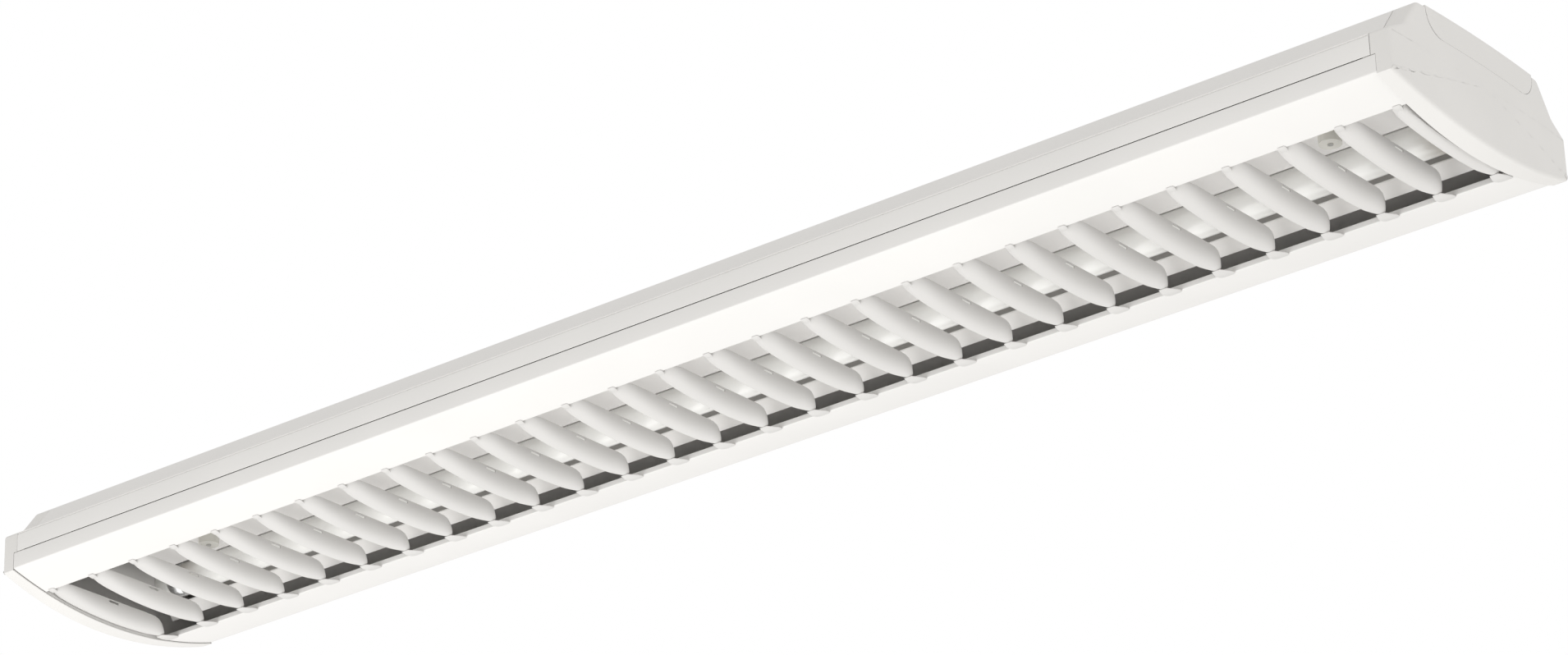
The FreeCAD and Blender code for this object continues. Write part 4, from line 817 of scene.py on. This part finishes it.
# places on a blade's flank, from its top edge (0) to its bottom (1)
BLADE_HEIGHT = BLADE_TOP + BELLY_DROP
FLANK = (0.0, BLADE_SLOT_TOP / BLADE_HEIGHT, BLADE_SLOT_LOW / BLADE_HEIGHT,
         0.38, 0.53, 0.67, 0.79, 0.89, 0.96, 0.99)


def blade_ring(x, y, inset, fullness, reach=None, closed_end=False):
    """One section of a blade's outer (inset 0) or inner surface, over the bottom from left to right."""
    half, low, top = blade_half_at(y, inset), belly(y) + inset, blade_top_at(y)
    height = max(0.02, top - low)
    # the bottom runs out to a keel at the near end
    keel = max(0.0, 1 - (y - BLADE_END[-1]) / BLADE_TAPER)
    fullness = fullness - 1.35 * keel ** 1.5 - 0.5 * (1 - (half + inset) / BLADE_HALF)
    side = [(half * (1 - 0.08 * depth) * (1 - depth ** fullness) ** (1 / fullness), depth) for depth in FLANK]
    if reach is not None:
        share = (y - BLADE_END[-1]) / (BLADE_END[1] - BLADE_END[-1])
        reach = reach[0] + (reach[1] - reach[0]) * share - inset
    ring = []
    for px, depth in [(-px, depth) for px, depth in side] + [(0.0, 1.0)] + side[::-1]:
        pz = top if closed_end else top - height * depth
        ring.append((x + (px if reach is None else min(px, reach)), y, pz))
    return ring


def blade_stations():
    near, far = BLADE_END[-1], BLADE_END[1]
    taper = [BLADE_TAPER * (1 - math.cos(math.pi / 2 * k / 7)) for k in range(8)]
    middle = [near + BLADE_TAPER + (far - near - 2 * BLADE_TAPER) * k / 14 for k in range(1, 14)]
    slot = [BLADE_SLOT + sign * (BLADE_SLOT_HALF - back) for sign in (-1, 1) for back in (0, 0.8)]
    inner = [y for y in middle if all(abs(y - other) > 1.5 for other in slot)
             and abs(y - BLADE_SLOT) > BLADE_SLOT_HALF]
    return sorted([near + t for t in taper] + inner + slot + [far - t for t in taper])


def blade_tab(x, side, reach=None):
    """A thin tab just under the flange of the rail: a narrow one at the near end, a spoon at the far end."""
    root, tip = abs(BLADE_END[side]) - TAB_ROOT, OPENING[side] + TAB_REACH
    neck, wide = (2.6, 3.0) if side < 0 else (3.2, 6.6)
    swell = root + (tip - root) * 0.55
    outline = [(-neck, root), (neck, root), (wide, swell), (wide, tip), (-wide, tip), (-wide, swell)]
    path = rounded_path(outline, [0, 0, 2.5, wide * 0.7, wide * 0.7, 2.5], 6)
    if reach is not None:
        path = [(min(px, reach[side > 0]), py) for px, py in path]
    rings = []
    for drop, inset in ((TAB_WALL, 0.2), (TAB_WALL - 0.12, 0.05), (TAB_WALL - 0.3, 0.0), (TAB_GAP, 0.0)):
        rings.append([(x + px, side * py, belly(py) - drop) for px, py in inset_path(path, inset)])
    return capped(rings)


def blade_shape(x, fullness, reach=None):
    """One blade: a thin-walled boat-shaped trough, open at the top, with a slot in each flank."""
    stations = blade_stations()
    rings = []
    for number, y in enumerate(stations):
        ends = number in (0, len(stations) - 1)
        outer = blade_ring(x, y, 0.0, fullness, reach)
        inner = blade_ring(x, y, BLADE_SHEET, fullness, reach, closed_end=ends)
        rings.append(outer + inner[::-1])
    size = len(rings[0])
    half = size // 2
    points = [point for ring in rings for point in ring]
    slot_rows = [row for row in range(len(stations) - 1)
                 if abs((stations[row] + stations[row + 1]) / 2 - BLADE_SLOT) < BLADE_SLOT_HALF]
    slot_columns = (1, half - 3)
    holes = {(row, k) for row in slot_rows for k in slot_columns}
    faces = []
    for row in range(len(rings) - 1):
        for k in range(size):
            after = (k + 1) % size
            mirror = size - 2 - k
            if (row, k) in holes or (row, mirror) in holes and k >= half:
                continue
            faces.append((row * size + k, row * size + after, (row + 1) * size + after, (row + 1) * size + k))
    for row, k in holes:
        def corner(r, c):
            return r * size + c
        for (r1, c1), (r2, c2), beyond in (((row, k), (row + 1, k), (row, k - 1)),
                                           ((row, k + 1), (row + 1, k + 1), (row, k + 1)),
                                           ((row, k), (row, k + 1), (row - 1, k)),
                                           ((row + 1, k), (row + 1, k + 1), (row + 1, k))):
            if beyond not in holes:
                faces.append((corner(r1, c1), corner(r2, c2),
                              corner(r2, size - 1 - c2), corner(r1, size - 1 - c1)))
    for row in (0, len(rings) - 1):
        faces.append(tuple(row * size + k for k in range(size)))
    return joined((points, faces), blade_tab(x, -1, reach), blade_tab(x, 1, reach))


class LUMINAIRE_OT_blades(bpy.types.Operator):
    """Build the cross blades of the louvre."""
    bl_idname = "luminaire.blades"
    bl_label = "Blades"

    def execute(self, context):
        fullness = context.scene.luminaire_shape.blade_fullness
        rows = [blade_shape(-BLADE_FIRST + BLADE_PITCH * number, fullness) for number in range(1, CELLS)]
        add_piece("blades", *joined(*rows), "louvre_paint", "louvre", ("cross_blades",), 50)
        for side, near_reach, place in (("right", END_BLADE_REACH - 2, lambda shape: shape),
                                        ("left", END_BLADE_REACH, flipped_x)):
            end = blade_shape(BLADE_FIRST, fullness, (near_reach, END_BLADE_REACH))
            add_piece(f"blade_{side}", *place(end), "louvre_paint", "louvre", (f"end_blade_{side}",), 50)
        return {"FINISHED"}


# ---------------------------------------------------------------- lamps, holders and tray

def layered(path, y, layers):
    """A closed body along X; each layer is a place and how far the outline is drawn in there."""
    return capped([[(x, y + py, pz) for py, pz in (inset_path(path, inset) if inset else path)]
                   for x, inset in layers])


def holder_shape(y):
    """A lampholder: soft-edged head and round foot, with the recess and slot that the pins enter by."""
    half, recess, slot = HOLDER_HALF, ROTOR_RADIUS + 0.3, PIN_SLOT / 2
    steps = 20
    gap = math.asin(slot / half)
    foot = [(half * math.cos(a), LAMP_Z + half * math.sin(a))
            for a in (math.pi + (math.pi / 2 - gap) * k / steps for k in range(1, steps + 1))]
    inner_gap = math.asin(slot / recess)
    bottom = -math.pi / 2
    ring = [(recess * math.cos(a), LAMP_Z + recess * math.sin(a))
            for a in (bottom - inner_gap - (2 * math.pi - 2 * inner_gap) * k / 36 for k in range(37))]
    other = [(-px, pz) for px, pz in foot[::-1]]
    block = rounded_path([(half, LAMP_Z), (half, HOLDER_TOP), (-half, HOLDER_TOP), (-half, LAMP_Z)],
                         [0, 1.5, 1.5, 0], 4)
    full_foot = [(half * math.cos(a), LAMP_Z + half * math.sin(a)) for a in (
        math.pi + math.pi * k / 30 for k in range(1, 30))]
    deep, soft, lip = HOLDER_FACE + ROTOR_THICK + 0.6, 0.5, 0.25
    rear = layered(block + full_foot, y, ((deep, 0.0), (HOLDER_BACK - soft, 0.0), (HOLDER_BACK, soft)))
    fore = layered(block + foot + ring + other, y,
                   ((HOLDER_FACE, lip), (HOLDER_FACE + lip, 0.0), (deep, 0.0)))
    return joined(rear, fore)


def rotor_shape(y):
    """The turning rotor: a disc with a slot across it and a softened edge."""
    radius, slot = ROTOR_RADIUS, PIN_SLOT / 2
    gap = math.asin(slot / radius)
    back, start, edge = ROTOR_FACE + ROTOR_THICK, ROTOR_FACE + ROTOR_THICK - ROTOR_FLOOR, 0.3
    halves = []
    for turn in (0.0, math.pi):
        sweep = [turn + gap + (math.pi - 2 * gap) * k / 20 for k in range(21)]
        path = [(radius * math.cos(a), LAMP_Z + radius * math.sin(a)) for a in sweep]
        halves.append(layered(path, y, ((ROTOR_FACE, edge), (ROTOR_FACE + edge, 0.0), (start, 0.0))))
    floor = turned(((start, 0), (start, radius), (back, radius), (back, 0)), y, LAMP_Z, 40)
    return joined(*halves, floor)


def lamp_cap_shape(y):
    """Drawn metal cap of a lamp: rounded shoulder, rolled edge and a crimped ring."""
    end, start, radius = LAMP_HALF, LAMP_HALF - LAMP_CAP, LAMP_RADIUS
    profile = [(end, 0.0), (end, radius - 1.6), (end - 0.5, radius - 0.45), (end - 1.5, radius),
               (end - 10, radius), (end - 10.6, radius - 0.25), (end - 11.2, radius),
               (start + 0.25, radius), (start, radius - 0.15), (start, radius - 0.38),
               (start + 1, radius - 0.38), (end - 1.2, radius - 0.4), (end - 1.2, 0.0)]
    return turned(profile, y, LAMP_Z, 40)


def lamp_pins_shape(y):
    root, tip, radius = LAMP_HALF - 1, LAMP_HALF + PIN_REACH, PIN_RADIUS
    profile = [(root, 0), (root, radius), (tip - 0.8, radius), (tip - 0.3, radius * 0.8),
               (tip, radius * 0.4), (tip, 0)]
    return joined(*(turned(profile, y + offset, LAMP_Z, 16) for offset in (-PIN_OFFSET, PIN_OFFSET)))


def tube_shape(y):
    radius = LAMP_RADIUS - 0.41
    half = LAMP_HALF - 1.3
    profile = [(-half, radius - 2.4), (-half + 4, radius - 0.9), (-half + 9, radius)]
    profile += [(x, radius) for x in (-400, -200, 0, 200, 400)]
    profile += [(half - 9, radius), (half - 4, radius - 0.9), (half, radius - 2.4)]
    inner = [(x, r - 0.8) for x, r in reversed(profile)]
    return turned(profile + inner + profile[:1], y, LAMP_Z, 48)


class LUMINAIRE_OT_lamps(bpy.types.Operator):
    """Build both lamps, their lampholders and the turning rotors."""
    bl_idname = "luminaire.lamps"
    bl_label = "Lamps"

    def execute(self, context):
        for side, y in (("near", -LAMP_Y), ("far", LAMP_Y)):
            body = f"lamp_{side}"
            add_piece(f"tube_{side}", *tube_shape(y), "lamp_glass", body, (f"lamp_tube_{side}",), 30)
            caps, pins = lamp_cap_shape(y), lamp_pins_shape(y)
            add_piece(f"caps_{side}", *joined(caps, flipped_x(caps)), "lamp_cap_metal", body,
                      (f"lamp_caps_{side}",), 30)
            add_piece(f"pins_{side}", *joined(pins, flipped_x(pins)), "brass", body,
                      (f"lamp_pins_{side}",), 40)
            for end, place in (("right", lambda shape: shape), ("left", flipped_x)):
                add_piece(f"holder_{side}_{end}", *place(holder_shape(y)), "holder_plastic", "fixture",
                          (f"lampholder_{side}_{end}",), 35)
                add_piece(f"turner_{side}_{end}", *place(rotor_shape(y)), "holder_plastic", body,
                          (f"rotor_{side}_{end}",), 35)
        return {"FINISHED"}


class LUMINAIRE_OT_tray(bpy.types.Operator):
    """Build the reflector tray over the lamps."""
    bl_idname = "luminaire.tray"
    bl_label = "Tray"

    def execute(self, context):
        line = [(-y, z) for y, z in reversed(TRAY)] + list(TRAY)
        path = sheet_path(line, TRAY_SHEET, 1.5)
        add_piece("tray", *section_bar(path, TRAY_REACH), "reflector_paint", "fixture",
                  ("reflector_tray",), 40)
        return {"FINISHED"}


# ---------------------------------------------------------------- leads

class LUMINAIRE_OT_leads(bpy.types.Operator):
    """Lay the fixed internal leads of the control gear as smooth curves."""
    bl_idname = "luminaire.leads"
    bl_label = "Leads"

    def execute(self, context):
        z, lane, pitch = -9.0, 34.0, 4.0
        out, right_end = -462.0, -78.0
        left, right = [], []
        for side in (-1, 1):
            for number in (0, 1):
                way = side * (lane + pitch * number)
                start, step = side * (2 + 3 * number), out - 18 - 5 * (1 - number)
                left.append([(out, start, z), (step, start, z), (step - 16, way, z), (-HOLDER_FACE, way, z)])
                start, back = side * (8 + 3 * number), out - 8 - 4 * number - 3
                right.append([(out, start, z - 3), (back, start, z - 3), (back, way, z + 3),
                              (out + 14, way, z + 3), (out + 28, way, z), (HOLDER_FACE, way, z)])
        mains = [[(right_end, y, z), (7.0, y, z)] for y in (-7.0, 0.0, 7.0)]
        earth = [[(37.0, 7, z), (42.0, 7, z), (50.0, 18, z), (79.0, 18, z), (85.0, 8, z), (86.0, 4.2, z)]]
        for name, paths, finish, node in (
                ("wires_left", left, "lead_white", "lamp_leads_left"),
                ("wires_right", right, "lead_white", "lamp_leads_right"),
                ("wires_mains", mains, "lead_white", "mains_leads"),
                ("wire_earth", earth, "lead_green", "earth_lead")):
            self.lay(context, name, paths, finish, node)
        return {"FINISHED"}

    @staticmethod
    def lay(context, name, paths, finish, node):
        curve = bpy.data.curves.new(name, "CURVE")
        curve.dimensions = "3D"
        curve.bevel_depth = 1.1 * MM
        curve.bevel_resolution = 4
        curve.resolution_u = 10
        curve.use_fill_caps = True
        for path in paths:
            line = curve.splines.new("NURBS")
            line.points.add(len(path) - 1)
            for point, spot in zip(line.points, path):
                point.co = (*(Vector(spot) * MM), 1)
            line.order_u = min(3, len(path))
            line.use_endpoint_u = True
        curve.materials.append(FINISHES[finish])
        lead = bpy.data.objects.new(name, curve)
        context.scene.collection.objects.link(lead)
        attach(lead, "fixture")
        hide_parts(node)


# ---------------------------------------------------------------- stage

class LUMINAIRE_OT_stage(bpy.types.Operator):
    """Add the camera, the lamps, the world and the floor."""
    bl_idname = "luminaire.stage"
    bl_label = "Stage"

    def execute(self, context):
        stage = context.scene.luminaire_stage
        camera = bpy.data.cameras.new("camera")
        camera.lens = stage.focal_length
        camera.sensor_fit = "HORIZONTAL"
        camera.clip_end = 60
        view = bpy.data.objects.new("camera", camera)
        context.scene.collection.objects.link(view)
        right = Vector((0.77940, 0.62591, -0.02765))
        forward = Vector((-0.56066, 0.71648, 0.41512)).normalized()
        up = right.cross(forward).normalized()
        turn = Matrix((forward.cross(up), up, -forward)).transposed()
        view.matrix_world = Matrix.Translation((2.0642, -2.5668, -1.5141)) @ turn.to_4x4()
        context.scene.camera = view
        context.scene.view_settings.view_transform = "Standard"

        world = bpy.data.worlds.new("studio")
        context.scene.world = world
        world.use_nodes = True
        tree = world.node_tree
        tree.nodes.clear()
        path = tree.nodes.new("ShaderNodeLightPath")
        seen = tree.nodes.new("ShaderNodeMath")
        seen.operation = "MAXIMUM"
        tree.links.new(path.outputs["Is Camera Ray"], seen.inputs[0])
        tree.links.new(path.outputs["Is Transmission Ray"], seen.inputs[1])
        soft = tree.nodes.new("ShaderNodeBackground")
        soft.inputs["Color"].default_value = (0.79, 0.78, 0.765, 1)
        white = tree.nodes.new("ShaderNodeBackground")
        white.inputs["Color"].default_value = (1, 1, 1, 1)
        mix = tree.nodes.new("ShaderNodeMixShader")
        tree.links.new(seen.outputs[0], mix.inputs[0])
        tree.links.new(soft.outputs[0], mix.inputs[1])
        tree.links.new(white.outputs[0], mix.inputs[2])
        output = tree.nodes.new("ShaderNodeOutputWorld")
        tree.links.new(mix.outputs[0], output.inputs["Surface"])

        self.lamp(context, "lamp_below", (-1.3, -0.8, -3.2), 4.5, 85)
        self.lamp(context, "lamp_end", (3.4, -0.6, -0.9), 1.6, 14)

        n = Nodes("floor_paper")
        cloud = n.noise(1.5)
        paper = n.node("ShaderNodeBsdfPrincipled", {}, {
            "Base Color": n.blend(cloud, (0.86, 0.86, 0.85, 1), (0.89, 0.89, 0.88, 1)), "Roughness": 0.9})
        bpy.ops.mesh.primitive_plane_add(size=30, location=(0, 0, -stage.floor_drop))
        floor = context.object
        floor.name = "floor"
        floor.data.materials.append(n.output(paper))
        floor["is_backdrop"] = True
        return {"FINISHED"}

    @staticmethod
    def lamp(context, name, spot, size, power):
        light = bpy.data.lights.new(name, "AREA")
        light.shape = "DISK"
        light.size = size
        light.energy = power
        lamp = bpy.data.objects.new(name, light)
        context.scene.collection.objects.link(lamp)
        lamp.location = spot
        lamp.rotation_euler = (Vector((0, 0, -0.04)) - Vector(spot)).to_track_quat("-Z", "Y").to_euler()


class LUMINAIRE_OT_paint(bpy.types.Operator):
    """Give every construction solid that stays in view its finish."""
    bl_idname = "luminaire.paint"
    bl_label = "Paint"

    def execute(self, context):
        slots = {row["node"]: row["material_slot"] for row in frame["record"]["subparts"]}
        for name, node in frame["nodes"].items():
            node.data.materials.clear()
            node.data.materials.append(FINISHES[slots[name]])
        return {"FINISHED"}


# ---------------------------------------------------------------- panel and registration

STEPS = (
    LUMINAIRE_OT_stage, LUMINAIRE_OT_paint, LUMINAIRE_OT_housing, LUMINAIRE_OT_end_caps, LUMINAIRE_OT_rails,
    LUMINAIRE_OT_blades, LUMINAIRE_OT_lamps, LUMINAIRE_OT_tray, LUMINAIRE_OT_leads)


class LUMINAIRE_PT_sidebar(bpy.types.Panel):
    """Every step of the luminaire's looks."""
    bl_label = "Luminaire"
    bl_space_type = "VIEW_3D"
    bl_region_type = "UI"
    bl_category = "Luminaire"

    def draw(self, context):
        for step in STEPS:
            self.layout.operator(step.bl_idname)
        scene = context.scene
        for group in (scene.luminaire_finish, scene.luminaire_shape, scene.luminaire_stage):
            for key in group.__annotations__:
                self.layout.prop(group, key)


CLASSES = (LuminaireFinish, LuminaireShape, LuminaireStage, *STEPS, LUMINAIRE_PT_sidebar)


def register():
    for item in CLASSES:
        bpy.utils.register_class(item)
    bpy.types.Scene.luminaire_finish = PointerProperty(type=LuminaireFinish)
    bpy.types.Scene.luminaire_shape = PointerProperty(type=LuminaireShape)
    bpy.types.Scene.luminaire_stage = PointerProperty(type=LuminaireStage)


def unregister():
    del bpy.types.Scene.luminaire_finish
    del bpy.types.Scene.luminaire_shape
    del bpy.types.Scene.luminaire_stage
    for item in reversed(CLASSES):
        bpy.utils.unregister_class(item)


def main():
    register()
    FINISHES.update(make_finishes(bpy.context.scene.luminaire_finish))
    for step in STEPS:
        group, action = step.bl_idname.split(".")
        getattr(getattr(bpy.ops, group), action)()
    boxes = {"cad": cad_box, "visual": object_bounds()}
    plain = {key: [list(corner) for corner in box] for key, box in boxes.items()}


if __name__ == "__main__":
    main()
